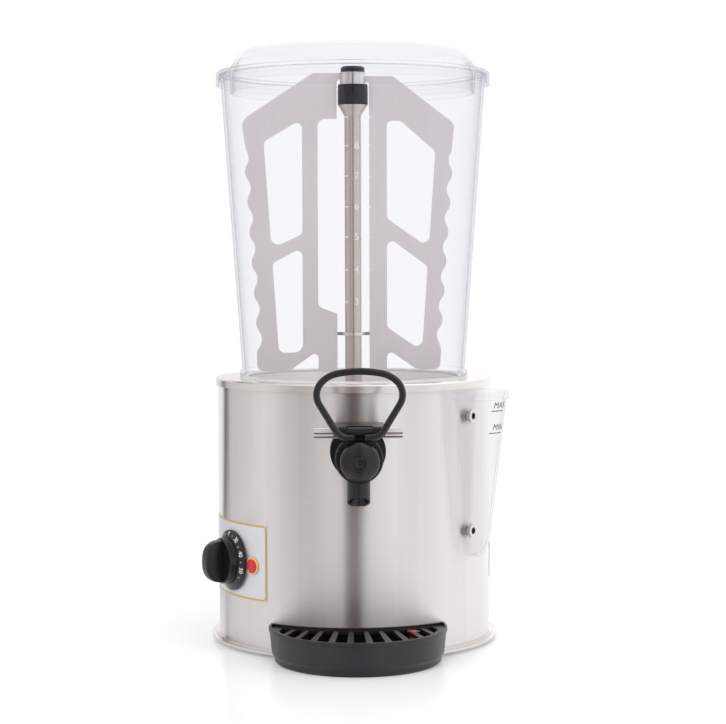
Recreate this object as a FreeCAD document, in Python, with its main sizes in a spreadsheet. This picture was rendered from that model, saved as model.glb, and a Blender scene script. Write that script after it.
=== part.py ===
import FreeCAD, Part
import Sketcher
import math
import os
import re

# Hot chocolate dispenser: a clear bowl with a turning paddle over a heated water bath, and a lever tap.
# The origin is on the floor under the axis of the round body. The tap looks along -Y, and +Z is up.
# A tap, lamp or knob is drawn with its own Z along the outward direction of its place on the body.

os.makedirs("parts", exist_ok=True)
doc = FreeCAD.newDocument("hot_chocolate_dispenser")

# Driving dimensions in millimetres, angles in degrees
SIZES = {
    # feet, base plate and round body
    "foot_height": 3, "foot_radius": 13, "foot_inset": 27, "foot_count": 4, "plate_flange": 6.5,
    "plate_sheet": 2, "plate_step": 1.7, "plate_seat": 3, "shell_radius": 124.5, "shell_wall": 1.2,
    "shell_top": 238.8, "cover_overhang": 2, "cover_sheet": 1.2, "cover_skirt": 7, "cover_gap": 0.4,
    # water bath, pot and stand
    "stand_height": 98, "stand_sheet": 2, "stand_inset": 8, "leg_inset": 26, "leg_width": 20,
    "leg_sheet": 3, "tank_gap": 12.5, "tank_wall": 1, "tank_lip": 5, "pot_gap": 14, "pot_wall": 1,
    "pot_lip": 8, "pot_floor": 152, "outlet_wall": 1.2, "spigot_gap": 0.05, "element_ring": 66,
    "element_rod": 4, "element_rise": 13, "element_leg": 14, "element_bend": 12, "element_drop": 16,
    "wall_clear": 8, "hole_clear": 12,
    # bowl, gasket and lid
    "gasket_sheet": 1.2, "gasket_width": 8, "bowl_wall": 2.5, "bowl_inset": 0.6, "bowl_bead": 2.2,
    "bowl_lip_height": 5, "bowl_rise": 273.4, "bowl_flare": 18.5, "bowl_rim_bead": 1.7,
    "bowl_rim_height": 4, "lid_gap": 0.5, "lid_skirt_wall": 1.8, "lid_wall": 2.2, "lid_skirt": 11.5,
    "lid_plug_inset": 8.7, "lid_plug_depth": 16, "lid_shoulder_inset": 6.2, "lid_plate_inset": 28.7,
    "lid_rise": 20.2,
    # stirrer
    "shaft_radius": 4, "shaft_gap": 0.05, "tube_radius": 7.8, "tube_wall": 2, "tube_drop": 26.6,
    "flare_radius": 13.8, "flare_height": 10, "collar_height": 18.2, "hub_height": 11, "hub_radius": 12,
    "cap_height": 5.5, "cap_radius": 11, "paddle_sheet": 1.5, "bush_length": 18, "turn_gap": 0.3,
    "paddle_column": 14.8, "wave_depth": 4.2, "paddle_waves": 6, "left_gap": 17.7, "right_gap": 25.2,
    "left_rim": 14.8, "right_rim": 12.8, "crossbar": 12, "clip_height": 3, "clip_rise": 37.8,
    "clip_band": 2,
    # gearmotor
    "gear_module": 1, "pinion_teeth": 12, "wheel_teeth": 48, "pressure_angle": 25, "gear_width": 8,
    "gearbox_wall": 2, "gearbox_side": 27.5, "gearbox_depth": 25, "rotor_radius": 15, "stator_gap": 0.6,
    "rotor_length": 28, "stator_side": 28, "stator_reach": 22, "yoke": 12, "stator_wall": 9, "coil_over": 9,
    "motor_shaft": 3, "fan_radius": 20, "fan_height": 8, "fan_blades": 7,
    # tap
    "tap_height": 180, "tap_flange": 24, "tap_flange_height": 3.2, "tap_barrel": 19, "barrel_reach": 33.5,
    "spigot_radius": 13, "inlet_radius": 10, "inlet_reach": 11.5, "seat_radius": 7.5, "seat_sheet": 4,
    "chamber_radius": 12, "stem_radius": 3.5, "seal_radius": 9, "spout_clear": 0.1, "spout_radius": 9.8,
    "spout_bore": 8.2, "spout_bottom": 137.4, "spout_slant": 30, "spout_lip": 1.5, "bonnet_radius": 20.4,
    "bonnet_length": 8, "pocket_radius": 9.2, "collar_radius": 8.6, "collar_gap": 4.4, "tap_collar": 2,
    "groove": 4.6, "boss_radius": 6, "tap_cap_radius": 16.5, "boss_length": 3.4, "tap_cap_edge": 4.5,
    "tap_cap_dome": 5, "dimple_radius": 5.3, "spring_coils": 5, "spring_wire": 0.6, "spring_radius": 7.2,
    "pivot_rise": 24, "pin_radius": 2.5, "pin_cover": 0.8, "lever_gap": 0.9, "block_half": 21.5,
    "block_drop": 3.1, "block_rise": 4.6, "block_bevel": 1.6, "hub_half": 10, "hub_gap": 0.5,
    "hub_round": 4.2, "bar_half": 37.8, "bar_height": 8.6, "bar_sheet": 3, "bar_setback": 14, "bar_drop": 8,
    "bar_groove": 1, "bar_bevel": 0.8, "loop_half": 36.2, "loop_bar": 2.9, "loop_rise": 75.5,
    "loop_foot": 16.4, "loop_side": 34.6, "loop_foot_bend": 14, "loop_side_bend": 15.6, "loop_top_bend": 24,
    "loop_crown_bend": 95, "fork_gap": 0.6, "fork_slot": 4.4, "neck_half": 13.3, "neck_drop": 16,
    # thermostat, lamp, label, switch and gland
    "knob_azimuth": -61.6, "knob_height": 79.6, "dial_radius": 27, "dial_edge": 5, "dial_gap": 1.2,
    "knob_disc": 20.3, "knob_disc_height": 12, "fin_height": 16, "fin_half": 4.5, "spindle_radius": 3,
    "spindle_reach": 8, "lamp_azimuth": -47, "lamp_height": 78, "lamp_radius": 6.2, "lamp_rim": 7.4,
    "label_start": -39.5, "label_sweep": 52, "label_bottom": 47.7, "label_height": 67, "label_sheet": 0.4,
    "label_gap": 0.1, "switch_azimuth": 101, "switch_height": 67, "switch_width": 19, "switch_tall": 28,
    "switch_wall": 1.9, "switch_fit": 0.3, "switch_frame": 2, "switch_proud": 2.4, "switch_depth": 26,
    "rocker_gap": 0.4, "rocker_end_gap": 1, "rocker_tilt": 10, "rocker_depth": 3.5, "axle_radius": 1.2,
    "axle_cover": 0.6, "gland_azimuth": 150, "gland_height": 32, "gland_radius": 9, "gland_bore": 4.2,
    # level cup
    "cup_azimuth": 52.5, "cup_bottom": 85, "cup_top": 231.6, "cup_wall": 1.6, "cup_gap": 2,
    "cup_top_width": 54, "cup_top_depth": 34, "cup_foot_width": 23, "cup_foot_depth": 19, "cup_band": 7,
    "cup_round": 14, "low_pipe": 107, "high_pipe": 209, "cup_pipe_radius": 4, "cup_pipe_wall": 1,
    # drip tray
    "tray_offset": 10.1, "tray_radius": 77.5, "tray_foot": 72.5, "tray_step": 2.4, "tray_height": 30,
    "tray_wall": 2.2, "tray_gap": 0.6, "grille_sheet": 3, "grille_drop": 2, "grille_ledge": 2.5,
    "slot_pitch": 4.2, "slot_centre": 42, "slot_count": 11, "slot_half": 5.4, "slot_start": 131,
    "slot_margin": 6, "float_angle": 19.9, "float_clear": 3, "float_radius": 3.4, "float_disc": 5,
    "float_socket": 5.6,
    # fasteners
    "screw_radius": 2, "screw_head": 4, "nut_radius": 4.2,
}

sheet = doc.addObject("Spreadsheet::Sheet", "Sizes")
for row, (alias, value) in enumerate(SIZES.items(), 1):
    sheet.set(f"A{row}", alias)
    sheet.set(f"B{row}", str(value))
    sheet.setAlias(f"B{row}", alias)
doc.recompute()

# Sizes that follow from the driving ones
FOLLOWING = {
    "plate_radius": "shell_radius + plate_flange", "plate_step_radius": "shell_radius + plate_seat",
    "foot_ring": "plate_radius - foot_inset", "cover_radius": "shell_radius + cover_overhang",
    "tank_radius": "shell_radius - tank_gap", "pot_radius": "tank_radius - pot_gap",
    "stand_radius": "tank_radius - stand_inset", "leg_ring": "stand_radius - leg_inset",
    "element_height": "stand_height + stand_sheet + element_rise",
    "gasket_radius": "pot_radius - pot_wall + gasket_width", "bowl_lip": "gasket_radius - bowl_inset",
    "bowl_foot": "bowl_lip - bowl_bead", "bowl_mouth": "bowl_foot + bowl_flare",
    "bowl_rim": "bowl_mouth + bowl_rim_bead", "lid_rim": "bowl_rim + lid_gap + lid_skirt_wall",
    "lid_plug": "bowl_mouth - lid_plug_inset", "lid_shoulder": "bowl_mouth - lid_shoulder_inset",
    "lid_plate": "bowl_mouth - lid_plate_inset",
    "tap_barrel_end": "shell_radius + barrel_reach", "inlet_end": "shell_radius + inlet_reach",
    "spout_depth": "tap_barrel_end - spout_radius - spout_clear",
    "bonnet_end": "tap_barrel_end + bonnet_length",
    "collar_depth": "bonnet_end + collar_gap",
    "tap_cap_depth": "collar_depth + tap_collar + groove + boss_length",
    "tray_centre": "shell_radius - tray_offset",
}
WORD = re.compile(r"[a-z_]+")


def tied(rule):
    """A rule written in plain size names, as an expression on the sheet's cells."""
    def cell(match):
        word = match.group(0)
        if word in FOLLOWING:
            return f"({tied(FOLLOWING[word])})"
        return "Sizes." + word if word in SIZES else word

    return WORD.sub(cell, str(rule))


def size(rule):
    """The rule's value now."""
    value = sheet.evalExpression(tied(rule))
    return float(getattr(value, "Value", value))


def outward(azimuth):
    """Local Z along the body's outward direction at this angle from the front, local Y up."""
    return FreeCAD.Rotation(FreeCAD.Vector(0, 0, 1), azimuth) * FreeCAD.Rotation(FreeCAD.Vector(1, 0, 0), 90)


UPRIGHT = FreeCAD.Rotation()


def place(piece, at, turn=UPRIGHT):
    piece.Placement = FreeCAD.Placement(FreeCAD.Vector(*(size(rule) for rule in at)), turn)
    for axis, rule in zip("xyz", at):
        piece.setExpression(f"Placement.Base.{axis}", tied(rule))
    return piece


def radial(azimuth, distance, height):
    """A place at this distance from the body's axis, as three rules."""
    return (f"({distance}) * sin({azimuth})", f"-({distance}) * cos({azimuth})", height)


def primitive(kind, name, at=("0", "0", "0"), turn=UPRIGHT, **rules):
    piece = doc.addObject("Part::" + kind, name)
    for prop, rule in rules.items():
        piece.setExpression(prop, tied(rule))
    return place(piece, at, turn)


def cylinder(name, radius, height, at=("0", "0", "0"), turn=UPRIGHT):
    return primitive("Cylinder", name, at, turn, Radius=radius, Height=height)


def box(name, low, high):
    """A box between two corners, each three rules."""
    spans = [f"({b}) - ({a})" for a, b in zip(low, high)]
    return primitive("Box", name, low, Length=spans[0], Width=spans[1], Height=spans[2])


def cut(name, base, *tools):
    piece = doc.addObject("Part::Cut", name)
    piece.Base = base
    piece.Tool = tools[0] if len(tools) == 1 else fuse(name + "_tools", *tools)
    return piece


def fuse(name, *shapes):
    piece = doc.addObject("Part::MultiFuse", name)
    piece.Shapes = list(shapes)
    return piece


def common(name, *shapes):
    piece = doc.addObject("Part::MultiCommon", name)
    piece.Shapes = list(shapes)
    return piece


def tied_sketch(body, name, plane, corners):
    """A closed outline on one of the body's origin planes, every corner tied to the sheet."""
    sketch = body.newObject("Sketcher::SketchObject", name)
    support = next(f for f in body.Origin.OriginFeatures if f.Role == plane)
    sketch.AttachmentSupport = [(support, "")]
    sketch.MapMode = "FlatFace"
    points = [FreeCAD.Vector(size(x), size(y), 0) for x, y in corners]
    count = len(points)
    for i in range(count):
        sketch.addGeometry(Part.LineSegment(points[i], points[(i + 1) % count]))
    for i in range(count):
        sketch.addConstraint(Sketcher.Constraint("Coincident", i, 2, (i + 1) % count, 1))
    for i, rules in enumerate(corners):
        for kind, rule, value in zip(("DistanceX", "DistanceY"), rules, points[i]):
            number = sketch.addConstraint(Sketcher.Constraint(kind, i, 1, value))
            sketch.setExpression(f"Constraints[{number}]", tied(rule))
    return sketch


def turned(name, profile, at=("0", "0", "0"), turn=UPRIGHT):
    """A turned piece: (radius, height) corners about its own Z."""
    body = doc.addObject("PartDesign::Body", name)
    sketch = tied_sketch(body, name + "_profile", "XZ_Plane", profile)
    revolution = body.newObject("PartDesign::Revolution", name + "_turning")
    revolution.Profile = sketch
    revolution.ReferenceAxis = (sketch, ["V_Axis"])
    revolution.Angle = 360
    body.Tip = revolution
    return place(body, at, turn)


def tube(name, outer, inner, low, high, at=("0", "0", "0"), turn=UPRIGHT):
    """A plain turned sleeve between two heights."""
    return turned(name, [(inner, low), (outer, low), (outer, high), (inner, high)], at, turn)


def padded(name, plane, corners, thickness, at=("0", "0", "0"), turn=UPRIGHT, symmetric=False):
    """A flat piece cut to a tied outline."""
    body = doc.addObject("PartDesign::Body", name)
    sketch = tied_sketch(body, name + "_outline", plane, corners)
    pad = body.newObject("PartDesign::Pad", name + "_pad")
    pad.Profile = sketch
    pad.SideType = "Symmetric" if symmetric else "One side"
    pad.setExpression("Length", tied(thickness))
    body.Tip = pad
    return place(body, at, turn)


def drawn(name, shape):
    """A piece whose form comes from a formula or a loft."""
    piece = doc.addObject("Part::Feature", name)
    piece.Shape = shape
    return piece


nodes = {}


def node(label, piece):
    piece.Label = label
    nodes[label] = piece
    return piece


def group(label, pieces):
    """Several separate solids of one kind kept as one sub-part."""
    gathered = doc.addObject("Part::Compound", label + "_set")
    gathered.Links = pieces
    return node(label, gathered)


def rounding(before, here, after, radius):
    """The tangent arc's first, middle and last points at a corner."""
    back, ahead = (before - here).normalize(), (after - here).normalize()
    half = back.getAngle(ahead) / 2
    reach = radius / math.tan(half)
    bisector = (back + ahead).normalize()
    return here + back * reach, here + bisector * (radius / math.sin(half) - radius), here + ahead * reach


def rounded_path(corners, closed=False):
    """A flat wire in X and Z through (x, z, radius) corners, each rounded by a tangent arc."""
    points = [FreeCAD.Vector(x, 0, z) for x, z, radius in corners]
    count, edges, last_end = len(points), [], None
    for i, (x, z, radius) in enumerate(corners):
        if radius > 0:
            first, middle, end = rounding(points[i - 1], points[i], points[(i + 1) % count], radius)
        else:
            first = end = points[i]
        if last_end is not None:
            edges.append(Part.LineSegment(last_end, first).toShape())
        else:
            opening_point = first
        if radius > 0:
            edges.append(Part.Arc(first, middle, end).toShape())
        last_end = end
    if closed:
        edges.append(Part.LineSegment(last_end, opening_point).toShape())
    return Part.Wire(edges)


def sheet_piece(wire, holes, thickness):
    """A flat sheet in the XZ plane, centred on its thickness, with cut windows."""
    across = FreeCAD.Vector(0, thickness, 0)
    solid = Part.Face(wire).extrude(across)
    for hole in holes:
        solid = solid.cut(Part.Face(hole).extrude(across))
    solid.translate(across * -0.5)
    return solid


# Base plate: a pressed steel disc, its flange wider than the body and a raised seat for the body's wall
plate_top = "foot_height + plate_sheet"
seat_top = f"{plate_top} + plate_step"
seat_inside = "shell_radius - 8"
plate = turned("plate_disc", [("0", "foot_height"), ("plate_radius", "foot_height"),
                              ("plate_radius", plate_top), ("plate_step_radius", plate_top),
                              ("plate_step_radius", seat_top), (seat_inside, seat_top),
                              (seat_inside, plate_top), ("0", plate_top)])
foot_places = [radial(f"45 + 360 / foot_count * {i}", "foot_ring",
                      "0") for i in range(round(size("foot_count")))]
plate_holes = [cylinder(f"foot_hole_{i}", "screw_radius + 0.2", "plate_sheet + 2", (x, y, "foot_height - 1"))
               for i, (x, y, z) in enumerate(foot_places)]
vent_holes = [cylinder(f"vent_{i}", "4", "plate_sheet + 2", radial(f"{20 * i}", "46", "foot_height - 1"))
              for i in range(18)]
node("base_plate", cut("base_plate_cut", plate, *plate_holes, *vent_holes))

# Rubber feet, each with a counterbore for its screw
feet, foot_screws = [], []
for i, spot in enumerate(foot_places):
    feet.append(turned(f"foot_{i}", [("screw_radius + 0.2", "1.4"), ("screw_head + 0.4", "1.4"),
                                     ("screw_head + 0.4", "0"), ("foot_radius - 1", "0"),
                                     ("foot_radius", "1"), ("foot_radius", "foot_height"),
                                     ("screw_radius + 0.2", "foot_height")], spot))
    foot_screws.append(turned(f"foot_screw_{i}", [("0", "0.4"), ("screw_head", "0.4"), ("screw_head", "1.4"),
                                                  ("screw_radius", "1.4"),
                                                  ("screw_radius", "foot_height + 6"),
                                                  ("0", "foot_height + 6")], spot))
    foot_screws.append(turned(f"foot_nut_{i}", [("screw_radius", plate_top), ("nut_radius", plate_top),
                                                ("nut_radius", f"{plate_top} + 3"),
                                                ("screw_radius", f"{plate_top} + 3")], spot))
group("rubber_feet", feet)
group("foot_screws", foot_screws)

# Body: a rolled stainless sheet standing on the plate's seat, with its cut-outs
shell_inside = "shell_radius - shell_wall"
shell = tube("shell_sleeve", "shell_radius", shell_inside, seat_top, "shell_top")
through = "shell_wall + hole_clear"
near_shell = "shell_radius - wall_clear"
tap_hole = cylinder("tap_hole", "spigot_radius + 0.4", through, radial("0", near_shell, "tap_height"),
                    outward(0))
knob_turn = outward(size("knob_azimuth"))
knob_hole = cylinder("knob_hole", "6", through, radial("knob_azimuth", near_shell, "knob_height"), knob_turn)
lamp_turn = outward(size("lamp_azimuth"))
lamp_hole = cylinder("lamp_hole", "lamp_radius", through,
                     radial("lamp_azimuth", near_shell, "lamp_height"), lamp_turn)
switch_turn = outward(size("switch_azimuth"))
switch_origin = radial("switch_azimuth", "0", "switch_height")


def switch_block(name, half_width, half_tall, start, end):
    """A block on the switch's own axes, between two distances from the body's axis."""
    corners = [(f"-({half_width})", f"-({half_tall})"), (half_width, f"-({half_tall})"),
               (half_width, half_tall), (f"-({half_width})", half_tall)]
    raised = padded(name, "XY_Plane", corners, f"({end}) - ({start})",
                    radial("switch_azimuth", start, "switch_height"), switch_turn)
    return raised


switch_hole = switch_block("switch_hole", "switch_width / 2", "switch_tall / 2", near_shell,
                           "shell_radius + 8")
gland_turn = outward(size("gland_azimuth"))
gland_hole = cylinder("gland_hole", "gland_radius", through,
                      radial("gland_azimuth", near_shell, "gland_height"), gland_turn)
cup_turn = outward(size("cup_azimuth"))
cup_holes = [cylinder(f"cup_hole_{level}", "cup_pipe_radius + 0.4", through,
                      radial("cup_azimuth", near_shell, level), cup_turn) for level in ("low_pipe",
                                                                                        "high_pipe")]
node("body_shell",
     cut("body_shell_cut", shell, tap_hole, knob_hole, lamp_hole, switch_hole, gland_hole, *cup_holes))

# Top cover: a steel ring over the body's edge, its hemmed skirt outside the wall
cover_top = "shell_top + cover_sheet"
cover_bottom = f"{cover_top} - cover_skirt"
cover_inside = "shell_radius + cover_gap"
pot_inside = "pot_radius - pot_wall"
node("top_cover", turned("top_cover_ring", [(pot_inside, "shell_top"), (cover_inside, "shell_top"),
                                            (cover_inside, cover_bottom), ("cover_radius", cover_bottom),
                                            ("cover_radius", f"{cover_top} - 1"),
                                            ("cover_radius - 1", cover_top), (pot_inside, cover_top)]))

# Stand: a round plate on four bent legs, which carries the bath and the gearmotor
stand_top = "stand_height + stand_sheet"
stand_plate = turned("stand_plate", [("shaft_radius + 1", "stand_height"), ("stand_radius", "stand_height"),
                                     ("stand_radius", stand_top), ("shaft_radius + 1", stand_top)])
legs = []
for i in range(4):
    angle = 45 + 90 * i
    leg = padded(f"leg_{i}", "XY_Plane",
                 [("-leg_width / 2", "-leg_sheet / 2"), ("leg_width / 2", "-leg_sheet / 2"),
                  ("leg_width / 2", "leg_sheet / 2"), ("-leg_width / 2", "leg_sheet / 2")],
                 f"stand_height - ({plate_top})", radial(angle, "leg_ring", plate_top),
                 FreeCAD.Rotation(FreeCAD.Vector(0, 0, 1), angle))
    toe = padded(f"toe_{i}", "XY_Plane",
                 [("-leg_width / 2", "-15"), ("leg_width / 2", "-15"),
                  ("leg_width / 2", "0"), ("-leg_width / 2", "0")],
                 "leg_sheet", radial(angle, "leg_ring", plate_top),
                 FreeCAD.Rotation(FreeCAD.Vector(0, 0, 1), angle))
    legs += [leg, toe]
element_leg_y = "-sqrt(element_ring ^ 2 - element_leg ^ 2)"
cutout_hole = cylinder("cutout_hole", "12", "stand_sheet + 2", ("-40", "-30", "stand_height - 1"))
element_holes = [cylinder(f"element_hole_{side}", "element_rod + 3", "stand_sheet + 2",
                          (f"{side} * element_leg", element_leg_y, "stand_height - 1")) for side in (-1, 1)]
node("motor_stand",
     cut("motor_stand_cut", fuse("stand_frame", stand_plate, *legs), cutout_hole, *element_holes))

# Water bath: a steel tank with a central well for the stirrer tube and an out-turned rim under the cover
tank_inside = "tank_radius - tank_wall"
tank = turned("tank_vessel", [("tube_radius", stand_top), ("tank_radius", stand_top),
                              ("tank_radius", "shell_top - tank_wall"),
                              ("tank_radius + tank_lip", "shell_top - tank_wall"),
                              ("tank_radius + tank_lip", "shell_top"), (tank_inside, "shell_top"),
                              (tank_inside, f"{stand_top} + tank_wall"),
                              ("tube_radius", f"{stand_top} + tank_wall")])
outlet_port = cylinder("outlet_port", "spigot_radius + spigot_gap + outlet_wall", "20",
                       radial("0", "tank_radius - 12", "tap_height"), outward(0))
pipe_ports = [cylinder(f"pipe_port_{level}", "cup_pipe_radius", "20",
                       radial("cup_azimuth", "tank_radius - 12", level), cup_turn)
              for level in ("low_pipe", "high_pipe")]
element_ports = [cylinder(f"element_port_{side}", "element_rod + 0.1", "8",
                          (f"{side} * element_leg", element_leg_y, "stand_height - 1")) for side in (-1, 1)]
node("water_tank", cut("water_tank_cut", tank, outlet_port, *pipe_ports, *element_ports))

# Pot: the steel well under the bowl, its rim under the cover, with the outlet pipe to the tap
pot = turned("pot_vessel", [("tube_radius", "pot_floor"), ("pot_radius - 20", "pot_floor"),
                            ("pot_radius", "pot_floor + 12"), ("pot_radius", "shell_top - pot_wall"),
                            ("pot_radius + pot_lip", "shell_top - pot_wall"),
                            ("pot_radius + pot_lip", "shell_top"), (pot_inside, "shell_top"),
                            (pot_inside, "pot_floor + 12 + pot_wall / 2"),
                            ("pot_radius - 20.5", "pot_floor + pot_wall"),
                            ("tube_radius", "pot_floor + pot_wall")])
outlet_start = "sqrt((pot_radius - pot_wall / 2) ^ 2 - (spigot_radius + spigot_gap + outlet_wall) ^ 2)"
outlet = tube("outlet_sleeve", "spigot_radius + spigot_gap + outlet_wall", "spigot_radius + spigot_gap",
              outlet_start,
              "shell_radius - 10", ("0", "0", "tap_height"), outward(0))
outlet_mouth = cylinder("outlet_mouth", "spigot_radius + spigot_gap", "40",
                        radial("0", "pot_radius - 20", "tap_height"),
                        outward(0))
node("product_pot", cut("product_pot_cut", fuse("pot_with_outlet", pot, outlet), outlet_mouth))

# Stirrer tube: a fixed steel tube up through bath and pot, flared at its top below the bowl's rim
gasket_top = f"{cover_top} + gasket_sheet"
bowl_top = f"{gasket_top} + bowl_rise"
tube_inside = "tube_radius - tube_wall"
tube_top = f"({bowl_top} - tube_drop)"
flare_bottom = f"{tube_top} - flare_height"
node("stirrer_tube", turned("stirrer_tube_turned",
                            [(tube_inside, "stand_height + stand_sheet"), ("tube_radius", stand_top),
                             ("tube_radius", flare_bottom), ("flare_radius", tube_top),
                             (tube_inside, tube_top)]))
bush_bore = "shaft_radius + shaft_gap"
group("shaft_bushes", [tube(f"bush_{i}", tube_inside, bush_bore, low, f"{low} + bush_length")
                       for i, low in enumerate((stand_top, f"{tube_top} - bush_length"))])

# Heating element: a steel-sheathed rod bent to an open ring, both legs down through the tank's floor
ring, rod = size("element_ring"), size("element_rod")
level, bend, leg_x = size("element_height"), size("element_bend"), size("element_leg")
drop = size(f"{stand_top} - element_drop")
opening = math.asin((leg_x) / ring)
ring_start = FreeCAD.Vector(leg_x, -ring * math.cos(opening), level)
ring_end = FreeCAD.Vector(-leg_x, ring_start.y, level)


def ring_point(angle):
    """A point on the element's ring, the angle counted from the front."""
    return FreeCAD.Vector(ring * math.sin(angle), -ring * math.cos(angle), level)


element_path = [Part.Arc(ring_point(opening), ring_point((opening + math.pi) / 2),
                         ring_point(math.pi)).toShape(),
                Part.Arc(ring_point(math.pi), ring_point(2 * math.pi - (opening + math.pi) / 2),
                         ring_point(2 * math.pi - opening)).toShape()]
ring_rod = Part.Wire(element_path).makePipeShell(
    [Part.Wire(Part.makeCircle(rod, ring_start, FreeCAD.Vector(math.cos(opening), math.sin(opening), 0)))],
    True, False)
element_shape = ring_rod
for spot in (ring_start, ring_end):
    element_shape = element_shape.fuse(Part.makeSphere(rod, spot))
    element_shape = element_shape.fuse(Part.makeCylinder(rod, level - drop,
                                                         FreeCAD.Vector(spot.x, spot.y, drop)))
heater = drawn("heater_rod", element_shape)
node("heating_element", heater)
group("element_nuts", [turned(f"element_nut_{side}",
                              [("element_rod + 0.1", f"{stand_top} - 6"),
                               ("element_rod + 2.8", f"{stand_top} - 6"),
                               ("element_rod + 2.8", stand_top), ("element_rod + 0.1", stand_top)],
                              (f"{side} * element_leg", element_leg_y, "0"))
                       for side in (-1, 1)])

# Overheat cut-out: a small disc thermostat held to the tank's floor
node("overheat_cutout", turned("cutout_disc", [("0", f"{stand_top} - 12"), ("6", f"{stand_top} - 12"),
                                               ("6", f"{stand_top} - 8"), ("9", f"{stand_top} - 8"),
                                               ("9", stand_top), ("0", stand_top)], ("-40", "-30", "0")))

# Gasket and bowl: the clear bowl's foot sits on a flat ring on the cover
node("bowl_gasket", tube("bowl_gasket_ring", "gasket_radius", pot_inside, cover_top, gasket_top))
lip_top = f"{gasket_top} + bowl_lip_height"
node("bowl", turned("bowl_wall_turned",
                    [("bowl_foot - bowl_wall", gasket_top), ("bowl_lip", gasket_top),
                     ("bowl_lip", f"{lip_top} - 1"), ("bowl_lip - 1", lip_top), ("bowl_foot", lip_top),
                     ("bowl_mouth", f"{bowl_top} - bowl_rim_height"),
                     ("bowl_rim - 0.5", f"{bowl_top} - bowl_rim_height"),
                     ("bowl_rim", f"{bowl_top} - bowl_rim_height + 0.5"), ("bowl_rim", bowl_top),
                     ("bowl_mouth - bowl_wall + 0.3", bowl_top)]))

# Lid: clear dome with a skirt round the bowl's rim and a plug ring inside it; it rests on the rim
lid_seat = bowl_top
lid_base = f"{lid_seat} + lid_wall"
lid_crown = f"{lid_base} + lid_rise"
node("lid", turned("lid_turned",
                   [("0", lid_crown), ("lid_plate", lid_crown), ("lid_plate + 7", f"{lid_crown} - 1"),
                    ("lid_plate + 12", f"{lid_crown} - 4.5"), ("lid_plate + 16", f"{lid_crown} - 10"),
                    ("lid_shoulder", f"{lid_base} + 1"), ("lid_rim - 1.5", f"{lid_base} + 0.6"),
                    ("lid_rim", f"{lid_base} - 0.9"), ("lid_rim", f"{lid_base} - lid_skirt"),
                    ("lid_rim - lid_skirt_wall", f"{lid_base} - lid_skirt"),
                    ("lid_rim - lid_skirt_wall", lid_seat),
                    ("lid_plug", lid_seat), ("lid_plug", f"{lid_seat} - lid_plug_depth"),
                    ("lid_plug - lid_wall", f"{lid_seat} - lid_plug_depth"),
                    ("lid_plug - lid_wall", f"{lid_seat} + 1"), ("lid_plate + 14", f"{lid_crown} - 11.2"),
                    ("lid_plate + 10.4", f"{lid_crown} - 6"),
                    ("lid_plate + 6", f"{lid_crown} - lid_wall - 0.6"),
                    ("lid_plate", f"{lid_crown} - lid_wall"), ("0", f"{lid_crown} - lid_wall")]))

# Drive shaft: one steel shaft from the gearbox to the top of the bowl
gear_level = "stand_height - gearbox_wall - gear_width - 3"
shaft_bottom = f"{gear_level} - gear_width - 6"
hub_bottom = f"{tube_top} + turn_gap + collar_height"
hub_top = f"{hub_bottom} + hub_height"
node("drive_shaft", turned("drive_shaft_turned", [("0", shaft_bottom), ("shaft_radius", shaft_bottom),
                                                  ("shaft_radius", f"{hub_top} + cap_height - 2"),
                                                  ("0", f"{hub_top} + cap_height - 2")]))

# Collar: black moulded ring on the shaft, notched at its top for the paddle's hub
collar = tube("collar_ring", "flare_radius", "shaft_radius", f"{tube_top} + turn_gap", hub_bottom)
notches = [box(f"collar_notch_{i}", low, high) for i, (low, high) in enumerate((
    (("-flare_radius - 1", "-3", f"{hub_bottom} - 4"), ("-flare_radius + 4", "3", f"{hub_bottom} + 1")),
    (("flare_radius - 4", "-3", f"{hub_bottom} - 4"), ("flare_radius + 1", "3", f"{hub_bottom} + 1"))))]
node("shaft_collar", cut("shaft_collar_cut", collar, *notches))
node("paddle_hub", tube("paddle_hub_sleeve", "hub_radius", "shaft_radius", hub_bottom, hub_top))
node("cap_nut", turned("cap_nut_turned", [("shaft_radius", hub_top), ("cap_radius", hub_top),
                                          ("cap_radius", f"{hub_top} + cap_height - 1.5"),
                                          ("cap_radius - 1.5", f"{hub_top} + cap_height"),
                                          ("0", f"{hub_top} + cap_height"),
                                          ("0", f"{hub_top} + cap_height - 2"),
                                          ("shaft_radius", f"{hub_top} + cap_height - 2")]))

# Paddles: two flat steel sheets, each with a scalloped outer edge and two windows
paddle_sheet = size("paddle_sheet")
hub_edge, column = size("hub_radius"), size("paddle_column")
left_gap, right_gap, crossbar = size("left_gap"), size("right_gap"), size("crossbar")


def under(distance):
    """A level this far below the hub's top."""
    return size(hub_top) - distance


def over(distance):
    """A level this far above the bowl's foot."""
    return size(gasket_top) + distance


def off_wall(side, gap, level):
    """How far from the axis a point stands that keeps this gap to the bowl's wall: side -1 is left."""
    foot, mouth = size("bowl_foot - bowl_wall"), size("bowl_mouth - bowl_wall")
    return side * (foot + (mouth - foot) * (level - size(gasket_top)) / size("bowl_rise") - gap)


def scallops(side, gap, top, bottom):
    """The wavy edge along the bowl's wall from the first hollow down to the last, as arcs."""
    waves, depth = round(size("paddle_waves")), size("wave_depth")

    def at(step, share):
        level = top + (bottom - top) * step / (2 * waves)
        return FreeCAD.Vector(off_wall(side, gap - depth * share, level), 0, level)

    return [Part.Arc(at(k - 0.5, 0.5), at(k, k % 2),
                     at(k + 0.5, 0.5)).toShape() for k in range(2 * waves + 1)]


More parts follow.
